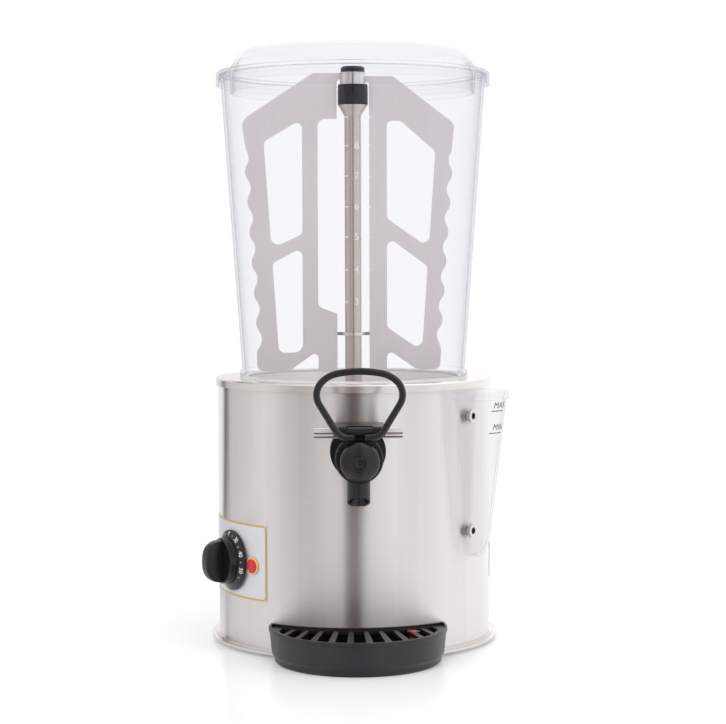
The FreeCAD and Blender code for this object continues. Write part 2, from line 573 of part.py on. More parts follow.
def paddle(label, outline, windows, wavy):
    """A paddle from its rounded outline and windows, its outer edge replaced by scallops."""
    edges = scallops(*wavy)
    first, last = edges[0].valueAt(edges[0].FirstParameter), edges[-1].valueAt(edges[-1].LastParameter)
    plain = rounded_path(outline + [(last.x, last.z, 0), (first.x, first.z, 0)], True)
    keep = [edge for edge in plain.Edges
            if not (edge.Vertexes[0].Point.distanceToPoint(last) < 0.01
                    and edge.Vertexes[1].Point.distanceToPoint(first) < 0.01)]
    rim = Part.Wire(Part.__sortEdges__(keep + edges))
    holes = [rounded_path(window, True) for window in windows]
    node(label, drawn(label + "_sheet", sheet_piece(rim, holes, paddle_sheet)))


def edge_point(side, gap, level, bend):
    """A corner of a paddle's outline or window at this gap from the bowl's wall."""
    return (off_wall(side, gap, level), level, bend)


left_inside, right_inside = column + 31.8, column + 16.2
left_window, right_window = left_gap + size("left_rim"), right_gap + size("right_rim")
paddle("left_paddle",
       [edge_point(-1, left_gap - 4.2, under(43.2), 12), (-hub_edge - 24.6, under(0.4), 6),
        (-hub_edge, under(0.4), 0), (-hub_edge, under(5.5), 0), (-column, under(8.5), 0),
        (-column, under(42), 0), (-column - 17.5, under(42), 7), (-column - 17.5, over(62.8), 5),
        (-column, over(56.1), 0), (-column, over(2.6), 0), (-column - 17.5, over(2.6), 0),
        (-column - 17.5, over(22.8), 4), (-column - 44.2, over(3.5), 8),
        edge_point(-1, left_gap - 6.4, over(3.5), 6), edge_point(-1, left_gap - 5.4, over(21.8), 4)],
       [[(-left_inside, under(42), 5), (-left_inside, under(147), 6),
         edge_point(-1, left_window, under(160), 7), edge_point(-1, left_window, under(62.7), 6)],
        [(-left_inside, under(147 + crossbar), 5), (-left_inside, over(20.8), 8),
         edge_point(-1, left_window, over(20.3), 6),
         edge_point(-1, left_window, under(161.7 + crossbar), 5)]],
       (-1, left_gap, under(76.9), over(33.6)))
paddle("right_paddle",
       [edge_point(1, right_gap - 3, under(46.5), 8), (hub_edge + 24.4, under(3), 6),
        (hub_edge, under(3), 0),
        (hub_edge, under(8), 0), (column, under(8.5), 0), (column, over(2.3), 0),
        (column + 16, over(2.3), 0),
        (column + 16, over(23.8), 4), (column + 43.4, over(4.7), 8),
        edge_point(1, right_gap - 5, over(4.7), 6), edge_point(1, right_gap - 4.7, over(22.8), 4)],
       [[(right_inside, under(43.7), 5), (right_inside + 12.6, under(43.7), 5),
         edge_point(1, right_window, under(71.5), 6), edge_point(1, right_window, under(160), 6),
         (right_inside, under(132.7), 5)],
        [(right_inside, under(137 + crossbar), 5), edge_point(1, right_window, under(165 + crossbar), 6),
         edge_point(1, right_window, over(21.4), 6), (right_inside, over(43.8), 5)]],
       (1, right_gap, under(78.9), over(36.7)))

# Guide clip: a thin steel strap round the tube, welded to both paddles
clip_inside = "tube_radius + 0.6"
clip_level = f"({gasket_top} + clip_rise)"
clip_low, clip_high = f"{clip_level} - clip_height / 2", f"{clip_level} + clip_height / 2"
clip = tube("clip_ring", f"{clip_inside} + clip_band", clip_inside, clip_low, clip_high)
clip_arms = [box(f"clip_arm_{side}", low, high) for side, (low, high) in enumerate((
    (("-paddle_column - 5", "paddle_sheet / 2", clip_low),
     (f"-({clip_inside})", "paddle_sheet / 2 + 1.2", clip_high)),
    ((clip_inside, "paddle_sheet / 2", clip_low),
     ("paddle_column + 5", "paddle_sheet / 2 + 1.2", clip_high))))]
clip_bore = cylinder("clip_bore", clip_inside, "clip_height + 2", ("0", "0", f"{clip_low} - 1"))
node("guide_clip", cut("guide_clip_strap", fuse("clip_blank", clip, *clip_arms), clip_bore))


# Gears: involute teeth by formula
def gear_shape(teeth, width, phase, bore):
    """A spur gear with its axis on Z; the phase turns its first tooth from +Y, in degrees."""
    module, pressure = size("gear_module"), math.radians(size("pressure_angle"))
    pitch, backlash = teeth * module / 2, 0.06 * module
    base, tip, root = pitch * math.cos(pressure), pitch + 0.9 * module, pitch - 1.15 * module
    half_pitch_angle = math.pi / (2 * teeth) - backlash / (2 * pitch)
    start_radius = max(base, root)

    def flank_angle(radius):
        cosine = base / radius
        roll = math.tan(math.acos(cosine)) - math.acos(cosine)
        return half_pitch_angle + math.tan(pressure) - pressure - roll

    def at(radius, angle):
        return FreeCAD.Vector(radius * math.sin(angle), radius * math.cos(angle), 0)

    radii = [start_radius, (start_radius + pitch) / 2, pitch, (pitch + tip) / 2, tip]
    edges = []
    for k in range(teeth):
        middle = math.radians(phase) + 2 * math.pi * k / teeth
        rise = [at(r, middle - flank_angle(r)) for r in radii]
        fall = [at(r, middle + flank_angle(r)) for r in reversed(radii)]
        low_before, low_after = at(root, middle - flank_angle(radii[0])), at(root,
                                                                             middle + flank_angle(radii[0]))
        following = middle + 2 * math.pi / teeth
        next_low = at(root, following - flank_angle(radii[0]))
        if start_radius > root:
            edges.append(Part.LineSegment(low_before, rise[0]))
        edges += [Part.LineSegment(a, b) for a, b in zip(rise, rise[1:])]
        edges.append(Part.Arc(rise[-1], at(tip, middle), fall[0]))
        edges += [Part.LineSegment(a, b) for a, b in zip(fall, fall[1:])]
        if start_radius > root:
            edges.append(Part.LineSegment(fall[-1], low_after))
        edges.append(Part.Arc(low_after, at(root, middle + math.pi / teeth), next_low))
    wire = Part.Wire([edge.toShape() for edge in edges])
    solid = Part.Face(wire).extrude(FreeCAD.Vector(0, 0, width))
    if bore > 0:
        solid = solid.cut(Part.makeCylinder(bore, width))
    return solid


pinion_teeth, wheel_teeth = round(size("pinion_teeth")), round(size("wheel_teeth"))
width = size("gear_width")
wheel_level = size(gear_level)
lower_level = wheel_level - width - 2
gear_gap = size("gear_module") * (pinion_teeth + wheel_teeth) / 2
pinion_phase = 180 + (180 / pinion_teeth if pinion_teeth % 2 == 0 else 0)
shaft_radius, pin_radius = size("shaft_radius"), size("motor_shaft")
wheel = gear_shape(wheel_teeth, width, 0, shaft_radius)
wheel.translate(FreeCAD.Vector(0, 0, wheel_level))
node("output_gear", drawn("output_wheel", wheel))

# Middle gear: large wheel below, small pinion above, one moulding on a fixed pin
small = gear_shape(pinion_teeth, width + 2, pinion_phase, 0)
small.translate(FreeCAD.Vector(0, 0, wheel_level - 2))
large = gear_shape(wheel_teeth, width, 0, 0)
large.translate(FreeCAD.Vector(0, 0, lower_level))
middle = small.fuse(large).cut(Part.makeCylinder(pin_radius + 0.05, 4 * width,
                                                 FreeCAD.Vector(0, 0, lower_level - width)))
middle.translate(FreeCAD.Vector(0, gear_gap, 0))
node("middle_gear", drawn("middle_wheel", middle))
box_floor = lower_level - 3
box_top = size("stand_height")
node("middle_gear_pin", cylinder("middle_pin", "motor_shaft",
                                 "2 * gear_width + 2 + 3 + 3 + gearbox_wall",
                                 ("0", str(gear_gap), str(box_floor))))

# Rotor: shaft with its pinion cut on it and the laminated core
rotor_y = 2 * gear_gap
core_top = box_floor - size("gearbox_wall") - 4
core_bottom = core_top - size("rotor_length")
fan_top = core_bottom - 4
pinion = gear_shape(pinion_teeth, width + 1, pinion_phase, 0)
pinion.translate(FreeCAD.Vector(0, 0, lower_level - 1))
rotor = pinion.fuse(Part.makeCylinder(pin_radius, lower_level - 1 - fan_top + size("fan_height"),
                                      FreeCAD.Vector(0, 0, fan_top - size("fan_height"))))
rotor = rotor.fuse(Part.makeCylinder(size("rotor_radius"), size("rotor_length"),
                                     FreeCAD.Vector(0, 0, core_bottom)))
rotor.translate(FreeCAD.Vector(0, rotor_y, 0))
node("motor_rotor", drawn("rotor_core", rotor.removeSplitter()))

# Cooling fan on the rotor's lower end
fan_radius, fan_height, blades = size("fan_radius"), size("fan_height"), round(size("fan_blades"))
fan = Part.makeCylinder(pin_radius + 5, fan_height).cut(Part.makeCylinder(pin_radius, fan_height))
fan = fan.fuse(Part.makeCylinder(fan_radius, 1.2, FreeCAD.Vector(0, 0, fan_height - 1.2)))
for k in range(blades):
    blade = Part.makeBox(fan_radius - pin_radius - 4.5, 1.2, fan_height,
                         FreeCAD.Vector(pin_radius + 4, -0.6, 0))
    blade.rotate(FreeCAD.Vector(), FreeCAD.Vector(0, 0, 1), 360 / blades * k)
    fan = fan.fuse(blade)
fan = fan.cut(Part.makeCylinder(pin_radius, fan_height)).removeSplitter()
fan.translate(FreeCAD.Vector(0, rotor_y, fan_top - fan_height))
node("cooling_fan", drawn("fan_wheel", fan))

# Gearbox: a cast box under the stand's plate, open at the top
box_back = f"{rotor_y} + gearbox_depth - 8"
outer_block = box("gearbox_block",
                  ("-gearbox_side - 2", "-gearbox_side - 2", str(box_floor - size("gearbox_wall"))),
                  ("gearbox_side + 2", box_back, str(box_top)))
inner_block = box("gearbox_hollow", ("-gearbox_side", "-gearbox_side", str(box_floor)),
                  ("gearbox_side", f"{box_back} - 2", f"{box_top} + 1"))
rotor_bore = cylinder("rotor_bore", "motor_shaft + 0.05", "20", ("0", str(rotor_y), str(box_floor - 10)))
shaft_seat = cylinder("shaft_seat", "shaft_radius + shaft_gap", "20", ("0", "0", str(box_floor - 10)))
node("gearbox_housing", cut("gearbox_cast", outer_block, inner_block, rotor_bore, shaft_seat))

# Stator: laminated block with the rotor's bore and a window, and the coil on its back leg
stator_reach, coil_over = size("stator_reach"), size("coil_over")
stator_back = rotor_y + 2 * stator_reach
window_back = stator_back - size("yoke")
stator = box("stator_block", ("-stator_side", str(rotor_y - stator_reach), str(core_bottom)),
             ("stator_side", str(stator_back), str(core_top)))
stator_bore = cylinder("stator_bore", "rotor_radius + stator_gap", "60",
                       ("0", str(rotor_y), str(core_bottom - 10)))
stator_window = box("stator_window",
                    ("-stator_side + stator_wall", str(rotor_y + stator_reach - 2), str(core_bottom - 1)),
                    ("stator_side - stator_wall", str(window_back), str(core_top + 1)))
node("motor_stator", cut("stator_laminations", stator, stator_bore, stator_window))
coil_block = box("coil_block",
                 ("-stator_side + stator_wall + 1", str(rotor_y + stator_reach - 1),
                  str(core_bottom - coil_over + 1)),
                 ("stator_side - stator_wall - 1", str(stator_back + coil_over),
                  str(core_top + coil_over / 3)))
coil_core = box("coil_core", ("-stator_side", str(window_back), str(core_bottom)),
                ("stator_side", str(stator_back), str(core_top)))
node("motor_coil", cut("coil_winding", coil_block, coil_core))
spacer_height = box_floor - size("gearbox_wall") - core_top
post_spots = [(side * (size("stator_side") - 4), rotor_y - 16) for side in (-1, 1)]
post_spots += [(side * (size("stator_side") - 4), rotor_y + 10) for side in (-1, 1)]
group("motor_posts", [cylinder(f"motor_post_{i}", "screw_radius + 1.4", str(spacer_height),
                               (str(x), str(y), str(core_top))) for i, (x, y) in enumerate(post_spots)])

# Tap gasket: a rubber ring between the flange and the round wall
front = outward(0)
tap_at = ("0", "0", "tap_height")
flange_at = ("0", "0", "tap_height + tap_flange_height")
wall_bore = cylinder("gasket_wall", "shell_radius", "80", ("0", "0", "tap_height - 40"))
gasket_blank = tube("tap_gasket_ring", "tap_flange", "spigot_radius + 5", "shell_radius - 4",
                    "shell_radius + 2",
                    flange_at, front)
node("tap_gasket", cut("tap_gasket_cut", gasket_blank, wall_bore))

# Tap body: flange, barrel, spout and the hinge block in one black moulding
flange_back = "shell_radius + 2"
flange = tube("tap_flange_disc", "tap_flange", "inlet_radius", flange_back, f"{flange_back} + 3.5",
              flange_at, front)
barrel = cylinder("tap_barrel", "tap_barrel", f"tap_barrel_end - ({flange_back})",
                  ("0", f"-({flange_back})", "tap_height"), front)
spigot = cylinder("tap_spigot", "spigot_radius", f"{flange_back} - pot_radius - 8",
                  ("0", "-pot_radius - 8", "tap_height"), front)
spout = cylinder("tap_spout", "spout_radius", "tap_height - spout_bottom",
                 ("0", "-spout_depth", "spout_bottom"))
pivot_depth = "(collar_depth + tap_collar + groove / 2)"
pivot_height = "(tap_height + pivot_rise)"
block_bottom, block_top = f"({pivot_height} - block_drop)", f"({pivot_height} + block_rise)"
block_front = "(tap_barrel_end + 8)"
lug_front = f"({pivot_depth} + pin_radius + pin_cover)"
block_bar = box("hinge_bar", ("-block_half", f"-{block_front}", block_bottom),
                ("block_half", f"-({flange_back}) - 6", block_top))
lug_side = [(f"-{block_front}", block_bottom), (f"-{lug_front} + block_bevel", block_bottom),
            (f"-{lug_front}", f"{block_bottom} + block_bevel"),
            (f"-{lug_front}", f"{block_top} - block_bevel"), (f"-{lug_front} + block_bevel", block_top),
            (f"-{block_front}", block_top)]
lugs = [padded(f"hinge_lug_{side}", "YZ_Plane", lug_side, "block_half - hub_half - hub_gap",
               (start, "0", "0"))
        for side, start in enumerate(("-block_half", "hub_half + hub_gap"))]
rib = box("hinge_rib", ("-tap_barrel + 7", "-tap_barrel_end + 4", "tap_height + 10"),
          ("tap_barrel - 7", f"-({flange_back}) - 6", f"{block_bottom} + 1"))
pin_along = FreeCAD.Rotation(FreeCAD.Vector(0, 1, 0), 90)
pin_hole = cylinder("pin_hole", "pin_radius", "2 * block_half + 2",
                    ("-block_half - 1", f"-{pivot_depth}", pivot_height), pin_along)
inlet_bore = cylinder("inlet_bore", "inlet_radius", "inlet_end - pot_radius + 8",
                      ("0", "-pot_radius + 8", "tap_height"), front)
seat_bore = cylinder("seat_bore", "seat_radius", "seat_sheet + 2", ("0", "-inlet_end + 1", "tap_height"),
                     front)
chamber = cylinder("tap_chamber", "chamber_radius", "tap_barrel_end - inlet_end - seat_sheet + 1",
                   ("0", "-inlet_end - seat_sheet", "tap_height"), front)
spout_bore = cylinder("spout_bore", "spout_bore", "tap_height - spout_bottom + 2",
                      ("0", "-spout_depth", "spout_bottom - 1"))
mouth_back, mouth_under = "4 * spout_radius", "3 * spout_radius"
spout_mouth = primitive("Box", "spout_mouth",
                        ("-2 * spout_radius",
                         f"spout_radius - spout_depth - spout_lip - {mouth_back} * cos(spout_slant)"
                         f" - {mouth_under} * sin(spout_slant)",
                         f"spout_bottom + {mouth_back} * sin(spout_slant)"
                         f" - {mouth_under} * cos(spout_slant)"),
                        FreeCAD.Rotation(FreeCAD.Vector(1, 0, 0), -size("spout_slant")),
                        Length="4 * spout_radius", Width=f"{mouth_back} + 2 * spout_radius",
                        Height=mouth_under)
bar_front = "(tap_barrel_end - bar_setback)"
bar_back = f"({bar_front} - bar_sheet)"
bar_low = f"({pivot_height} - bar_drop)"
bar_high = f"({bar_low} + bar_height)"
bar_slot = box("bar_slot", ("-block_half - 1", f"-{bar_front}", bar_low),
               ("block_half + 1", f"-{bar_back}", bar_high))
tap_solid = fuse("tap_moulding", flange, barrel, spigot, spout, block_bar, *lugs, rib)
node("tap_body",
     cut("tap_body_cut", tap_solid, pin_hole, inlet_bore, seat_bore, chamber, spout_bore, bar_slot,
                     spout_mouth))

# Cross bar: a polished steel flat with one groove along its face, lying in the block's slot behind the lever
groove_level = f"{bar_low} + bar_height * 0.4"
bar_section = [(f"-{bar_back}", bar_low), (f"-{bar_front} + bar_bevel", bar_low),
               (f"-{bar_front}", f"{bar_low} + bar_bevel"),
               (f"-{bar_front}", f"{groove_level} - bar_groove"),
               (f"-{bar_front} + bar_groove", groove_level),
               (f"-{bar_front}", f"{groove_level} + bar_groove"),
               (f"-{bar_front}", f"{bar_high} - bar_bevel"), (f"-{bar_front} + bar_bevel", bar_high),
               (f"-{bar_back}", bar_high)]
node("tap_cross_bar",
     padded("tap_cross_bar_flat", "YZ_Plane", bar_section, "2 * bar_half", ("-bar_half", "0", "0")))

# Bonnet: screwed cap on the barrel, with the stem's guide and the spring's pocket
guide_start = "tap_barrel_end - 5"
guide_end = "tap_barrel_end - 2"
stem_bore = "stem_radius + shaft_gap"
node("tap_bonnet", turned("tap_bonnet_turned",
                          [(stem_bore, guide_start), ("chamber_radius", guide_start),
                           ("chamber_radius", "tap_barrel_end"), ("bonnet_radius - 1", "tap_barrel_end"),
                           ("bonnet_radius - 1", "tap_barrel_end + 2.5"),
                           ("bonnet_radius", "tap_barrel_end + 3"),
                           ("bonnet_radius", "bonnet_end - 1"), ("bonnet_radius - 1", "bonnet_end"),
                           ("pocket_radius", "bonnet_end"), ("pocket_radius", guide_end),
                           (stem_bore, guide_end)], tap_at, front))

# Plunger: stem with the valve's seal behind, the lever's groove and the round front cap
seal_front = "inlet_end"
node("tap_seal",
     turned("tap_seal_ring", [("stem_radius", f"{seal_front} - 4"), ("seal_radius", f"{seal_front} - 4"),
                                          ("seal_radius", seal_front), ("stem_radius", seal_front)], tap_at,
            front))
groove_start = "collar_depth + tap_collar"
groove_end = f"{groove_start} + groove"
node("tap_plunger", turned("tap_plunger_turned",
                           [("0", f"{seal_front} - 6"), ("seal_radius - 2", f"{seal_front} - 6"),
                            ("seal_radius - 2", f"{seal_front} - 4"), ("stem_radius", f"{seal_front} - 4"),
                            ("stem_radius", "collar_depth"), ("collar_radius", "collar_depth"),
                            ("collar_radius", groove_start), ("stem_radius", groove_start),
                            ("stem_radius", groove_end), ("boss_radius", groove_end),
                            ("boss_radius", "tap_cap_depth"), ("0", "tap_cap_depth")], tap_at, front))
cap_front = "tap_cap_depth + tap_cap_edge"
dome_edge = "asin(dimple_radius / tap_cap_radius)"
dome = [(f"tap_cap_radius * cos({step} * (90deg - {dome_edge}))",
         f"{cap_front} - 1.5 + (tap_cap_dome + 1.5) * sin({step} * (90deg - {dome_edge}))")
        for step in (0, 0.15, 0.3, 0.45, 0.6, 0.8, 1)]
dome_top = f"{cap_front} + tap_cap_dome"
node("tap_cap", turned("tap_cap_turned",
                       [("0", "tap_cap_depth"), ("tap_cap_radius - 1", "tap_cap_depth"),
                        ("tap_cap_radius", "tap_cap_depth + 1"), *dome,
                        ("dimple_radius - 0.6", f"{dome_top} - 1.6"),
                        ("dimple_radius - 2", f"{dome_top} - 2.2"),
                        ("0", f"{dome_top} - 2.4")], tap_at, front))

# Tap spring: one wire wound round the stem between the bonnet and the plunger's collar
spring_radius, wire = size("spring_radius"), size("spring_wire")
spring_start, spring_end = size(guide_end) + wire + 0.2, size("collar_depth") - wire - 0.2
coils = round(size("spring_coils"))
rise_per_quarter = (spring_end - spring_start) / (4 * coils)


def biarc(start, start_way, end, end_way):
    """Two arcs that leave along one direction and arrive along another."""
    gap = end - start
    total = start_way + end_way
    a, b, c = 2 * (1 - start_way.dot(end_way)), 2 * gap.dot(total), -gap.dot(gap)
    reach = (-b + math.sqrt(b * b - 4 * a * c)) / (2 * a)
    joint = (start + start_way * reach + end - end_way * reach) * 0.5
    arcs = []
    for tail, way, head in ((start, start_way, joint), (end, end_way * -1, joint)):
        corner = tail + way * reach
        base = (tail + head) * 0.5
        cosine = way.dot((head - tail).normalize())
        arcs.append((tail, base + (corner - base) * (cosine / (1 + cosine)), head))
    second = arcs[1]
    return [Part.Arc(*arcs[0]).toShape(), Part.Arc(second[2], second[1], second[0]).toShape()]


def coil_point(quarter):
    angle = math.pi / 2 * quarter
    return FreeCAD.Vector(spring_radius * math.cos(angle), spring_radius * math.sin(angle),
                          spring_start + rise_per_quarter * quarter)


def coil_way(quarter):
    angle = math.pi / 2 * quarter
    way = FreeCAD.Vector(-spring_radius * math.pi / 2 * math.sin(angle),
                         spring_radius * math.pi / 2 * math.cos(angle), rise_per_quarter)
    return way.normalize()


coil_edges = []
for quarter in range(4 * coils):
    coil_edges += biarc(coil_point(quarter), coil_way(quarter), coil_point(quarter + 1),
                        coil_way(quarter + 1))
spring_shape = Part.Wire(coil_edges).makePipeShell(
    [Part.Wire(Part.makeCircle(wire, coil_point(0), coil_way(0)))], True, False)
print("tap spring: gap between its turns", round(4 * rise_per_quarter - 2 * wire, 2), "mm")
spring = drawn("spring_wound", spring_shape)
node("tap_spring", place(spring, tap_at, front))

# Lever: hub on the pin, a loop in front whose foot is split by a slot, and a fork down to the stem
pivot, pivot_z, tap_z = size(pivot_depth), size(pivot_height), size("tap_height")
loop_bar, loop_depth = size("loop_bar"), size(f"{lug_front} + lever_gap + loop_bar")
loop_top, loop_half = size("tap_height + loop_rise"), size("loop_half")
hub_x, slot_x, neck_x = size("hub_half"), size("fork_slot"), size("neck_half")
loop_low = pivot_z - size("hub_round")
loop_corners = [(-slot_x, loop_low, 0), (-size("loop_foot"), loop_low, size("loop_foot_bend")),
                (-loop_half - 3.8, pivot_z + size("loop_side"), size("loop_side_bend")),
                (-loop_half + 11.2, loop_top - 3.1, size("loop_top_bend")),
                (0, loop_top + 1.1, size("loop_crown_bend"))]
loop_corners += [(-x, z, bend) for x, z, bend in reversed(loop_corners[:-1])]
loop_path = rounded_path(loop_corners)
loop_path.translate(FreeCAD.Vector(0, -loop_depth, 0))
tail = loop_path.Edges[0].valueAt(loop_path.Edges[0].FirstParameter)
way = loop_path.Edges[0].tangentAt(loop_path.Edges[0].FirstParameter)
loop_solid = loop_path.makePipeShell([Part.Wire(Part.makeCircle(loop_bar, tail, way))], True, False)
across = FreeCAD.Vector(1, 0, 0)
hub_front = size(lug_front) - pivot
hub_low, hub_high = pivot_z - size("block_drop") + 0.4, size(block_top) - size("block_bevel")
lever_hub = [Part.makeCylinder(size("hub_round"), 2 * hub_x, FreeCAD.Vector(-hub_x, -pivot, pivot_z),
                               across),
             Part.makeBox(2 * hub_x, hub_front, hub_high - hub_low,
                          FreeCAD.Vector(-hub_x, -pivot - hub_front, hub_low))]
leg_back = (size("groove") - size("fork_gap")) / 2
leg_front = size("shaft_gap") * 4
stem_side = size("stem_radius + fork_gap")
neck_top = size(block_bottom) - 1.5
bridge_low, bridge_high = loop_low - loop_bar + 1, loop_low + loop_bar - 1


def both_sides(inner, outer, back, front, low, high):
    """Two blocks, mirrored left and right, between two distances from the middle."""
    return [Part.makeBox(outer - inner, back + front, high - low,
                         FreeCAD.Vector(min(side * inner, side * outer), -pivot - front,
                                        low)) for side in (-1, 1)]


fork = both_sides(slot_x, hub_x, 0, loop_depth - pivot, bridge_low, bridge_high)
fork += both_sides(slot_x, neck_x, leg_back, loop_depth - pivot, bridge_low, neck_top)
fork += both_sides(stem_side, neck_x, leg_back, leg_front, pivot_z - size("neck_drop"), neck_top)
fork += both_sides(stem_side, hub_x, leg_back, leg_front, tap_z, pivot_z)
fork += [Part.makeCylinder(leg_back, hub_x - stem_side,
                           FreeCAD.Vector(min(side * stem_side, side * hub_x), -pivot, tap_z), across)
         for side in (-1, 1)]
lever = loop_solid.fuse(lever_hub + fork)
lever = lever.cut(Part.makeCylinder(size("pin_radius + shaft_gap"), 4 * hub_x,
                                    FreeCAD.Vector(-2 * hub_x, -pivot, pivot_z), across))
node("tap_lever", drawn("tap_lever_moulding", lever.removeSplitter()))
node("hinge_pin", cylinder("hinge_pin_rod", "pin_radius", "2 * block_half",
                           ("-block_half", f"-{pivot_depth}", pivot_height), pin_along))

# Lock nut: holds the tap's spigot inside the body
node("tap_lock_nut", tube("tap_lock_nut_ring", "spigot_radius + 7", "spigot_radius", "shell_radius - 9",
                          "shell_radius - 4", tap_at, front))

# Label: a thin printed sheet following the wall, with holes for the knob's spindle and the lamp
label_face = "shell_radius + label_gap + label_sheet"
label_band = tube("label_band", label_face, "shell_radius + label_gap", "label_bottom",
                  "label_bottom + label_height")
label_wedge = primitive("Cylinder", "label_wedge", ("0", "0", "label_bottom"),
                        FreeCAD.Rotation(FreeCAD.Vector(0, 0, 1), size("label_start - 90 - label_sweep")),
                        Radius="shell_radius + 2", Height="label_height", Angle="label_sweep")
label_knob_hole = cylinder("label_knob_hole", "6", "30", radial("knob_azimuth", near_shell, "knob_height"),
                           knob_turn)
label_lamp_hole = cylinder("label_lamp_hole", "lamp_radius", "30",
                           radial("lamp_azimuth", near_shell, "lamp_height"), lamp_turn)
node("control_label", cut("control_label_cut", common("label_sector", label_band, label_wedge),
                          label_knob_hole, label_lamp_hole))

# Pilot lamp: amber rim with a red lens and its holder behind the wall
lamp_at = ("0", "0", "lamp_height")
node("lamp_holder",
     turned("lamp_holder_turned", [("0", "shell_radius - 22"), ("lamp_radius - 1", "shell_radius - 22"),
                                                  ("lamp_radius - 1", "shell_radius - 2"),
                                                  ("lamp_radius - 0.4", "shell_radius - 2"),
                                                  ("lamp_radius - 0.4", f"{label_face} + 0.4"),
                                                  ("lamp_rim", f"{label_face} + 0.4"),
                                   ("lamp_rim", f"{label_face} + 1.6"),
                                                  ("lamp_radius", f"{label_face} + 1.6"),
                                   ("lamp_radius", f"{label_face} + 1"),
                                                  ("0", f"{label_face} + 1")], lamp_at, lamp_turn))
node("lamp_lens",
     turned("lamp_lens_turned", [("0", f"{label_face} + 1"), ("lamp_radius", f"{label_face} + 1"),
                                              ("lamp_radius", f"{label_face} + 2"),
                                              ("lamp_radius - 1.6", f"{label_face} + 3.2"),
                                              ("0", f"{label_face} + 3.8")], lamp_at, lamp_turn))

# Thermostat behind the wall, and its knob: dial skirt, raised disc and a fin to hold
knob_at = ("0", "0", "knob_height")
node("thermostat", turned("thermostat_turned", [("0", "shell_radius - 36"), ("15", "shell_radius - 36"),
                                                ("15", "shell_radius - 8"), ("5", "shell_radius - 8"),
                                                ("5", "shell_radius - 4"),
                                                ("spindle_radius", "shell_radius - 4"),
                                                ("spindle_radius", "shell_radius + spindle_reach"),
                                                ("0", "shell_radius + spindle_reach")],
                          knob_at, knob_turn))
dial_back = "shell_radius + dial_gap"
dial_front = f"{dial_back} + dial_edge"
disc_front = f"{dial_back} + knob_disc_height"
fin_front = f"{disc_front} + fin_height"
knob_blank = turned("knob_turned",
                    [("0", dial_back), ("dial_radius", dial_back), ("dial_radius", f"{dial_back} + 1.5"),
                                    ("knob_disc + 1", dial_front), ("knob_disc", dial_front),
                                    ("knob_disc", f"{disc_front} - 1"), ("knob_disc - 1", disc_front),
                                    ("0", disc_front)], knob_at, knob_turn)
fin_curve = [(f"(knob_disc - 1.2) * cos({angle}) ^ 0.7", f"{disc_front} + fin_height * sin({angle}) ^ 0.9")
             for angle in (10, 25, 40, 52, 64, 76, 86)]
fin_disc = turned("fin_turned", [("0", f"{disc_front} - 1"), ("knob_disc - 1.2", f"{disc_front} - 1"),
                                 *fin_curve, ("0", fin_front)], knob_at, knob_turn)
fin_slab = padded("fin_slab", "XY_Plane", [("-fin_half", "-knob_disc"), ("fin_half", "-knob_disc"),
                                           ("fin_half", "knob_disc"), ("-fin_half", "knob_disc")],
                  "fin_height + 3", radial("knob_azimuth", f"{disc_front} - 2", "knob_height"), knob_turn)
knob_bore = cylinder("knob_bore", "spindle_radius + shaft_gap",
                     f"shell_radius + spindle_reach + 1.3 - ({dial_back})",
                     radial("knob_azimuth", f"{dial_back} - 1", "knob_height"), knob_turn)
node("thermostat_knob",
     cut("knob_cut", fuse("knob_moulding", knob_blank, common("knob_fin", fin_disc, fin_slab)),
                            knob_bore))

# Bulb: the thermostat's sensor in the tank's floor
node("sensor_bulb", tube("sensor_bulb_rod", "3", "0", f"{stand_top} + tank_wall", f"{stand_top} + 40",
                         radial("knob_azimuth", "tank_radius - 8", "0")))

# Power switch: a rocker in a rectangular frame clipped through the wall
frame_front = "shell_radius + switch_proud"
frame_blank = switch_block("switch_frame_blank", "switch_width / 2 + switch_frame",
                           "switch_tall / 2 + switch_frame",
                           "shell_radius + 0.02", frame_front)
switch_box = switch_block("switch_box", "switch_width / 2 - switch_fit", "switch_tall / 2 - switch_fit",
                          "shell_radius - switch_depth", frame_front)
switch_recess = switch_block("switch_recess", "switch_width / 2 - switch_fit - switch_wall",
                             "switch_tall / 2 - switch_fit - switch_wall",
                             "shell_radius - rocker_depth - 5.5", "shell_radius + 6")
rocker_pivot = "shell_radius - rocker_depth"
axle_half = "(switch_width / 2 - switch_fit - axle_cover)"


def switch_axle(name, radius, half_length):
    """A round pin or hole across the switch on the rocker's axis."""
    start = (f"({rocker_pivot}) * sin(switch_azimuth) - ({half_length}) * cos(switch_azimuth)",
             f"-({rocker_pivot}) * cos(switch_azimuth) - ({half_length}) * sin(switch_azimuth)",
             "switch_height")
    return cylinder(name, radius, f"2 * ({half_length})", start,
                    switch_turn * FreeCAD.Rotation(FreeCAD.Vector(0, 1, 0), 90))


axle_hole = switch_axle("axle_hole", "axle_radius + shaft_gap", f"{axle_half} + turn_gap")
node("switch_housing",
     cut("switch_housing_cut", fuse("switch_frame", frame_blank, switch_box), switch_recess,
                           axle_hole))

# Rocker: its curved face tipped to off, on an axle through the housing's side walls
rocker_half = "switch_tall / 2 - switch_fit - switch_wall - rocker_end_gap"
rocker_shape = padded("rocker_block", "XZ_Plane",
                      [(f"-({rocker_half})", "-1.6"), ("0", "-3.4"), (rocker_half, "-1.6"),
                       (rocker_half, "5.4"),
                       ("0", "3.6"), (f"-({rocker_half})", "5.4")],
                      "switch_width - 2 * (switch_fit + switch_wall + rocker_gap)",
                      radial("switch_azimuth", rocker_pivot, "switch_height"),
                      switch_turn * FreeCAD.Rotation(FreeCAD.Vector(0, 0, 1), 90)
                      * FreeCAD.Rotation(FreeCAD.Vector(0, 1, 0), -size("rocker_tilt")), True)
node("switch_rocker",
     fuse("rocker_moulding", rocker_shape, switch_axle("rocker_axle", "axle_radius", axle_half)))

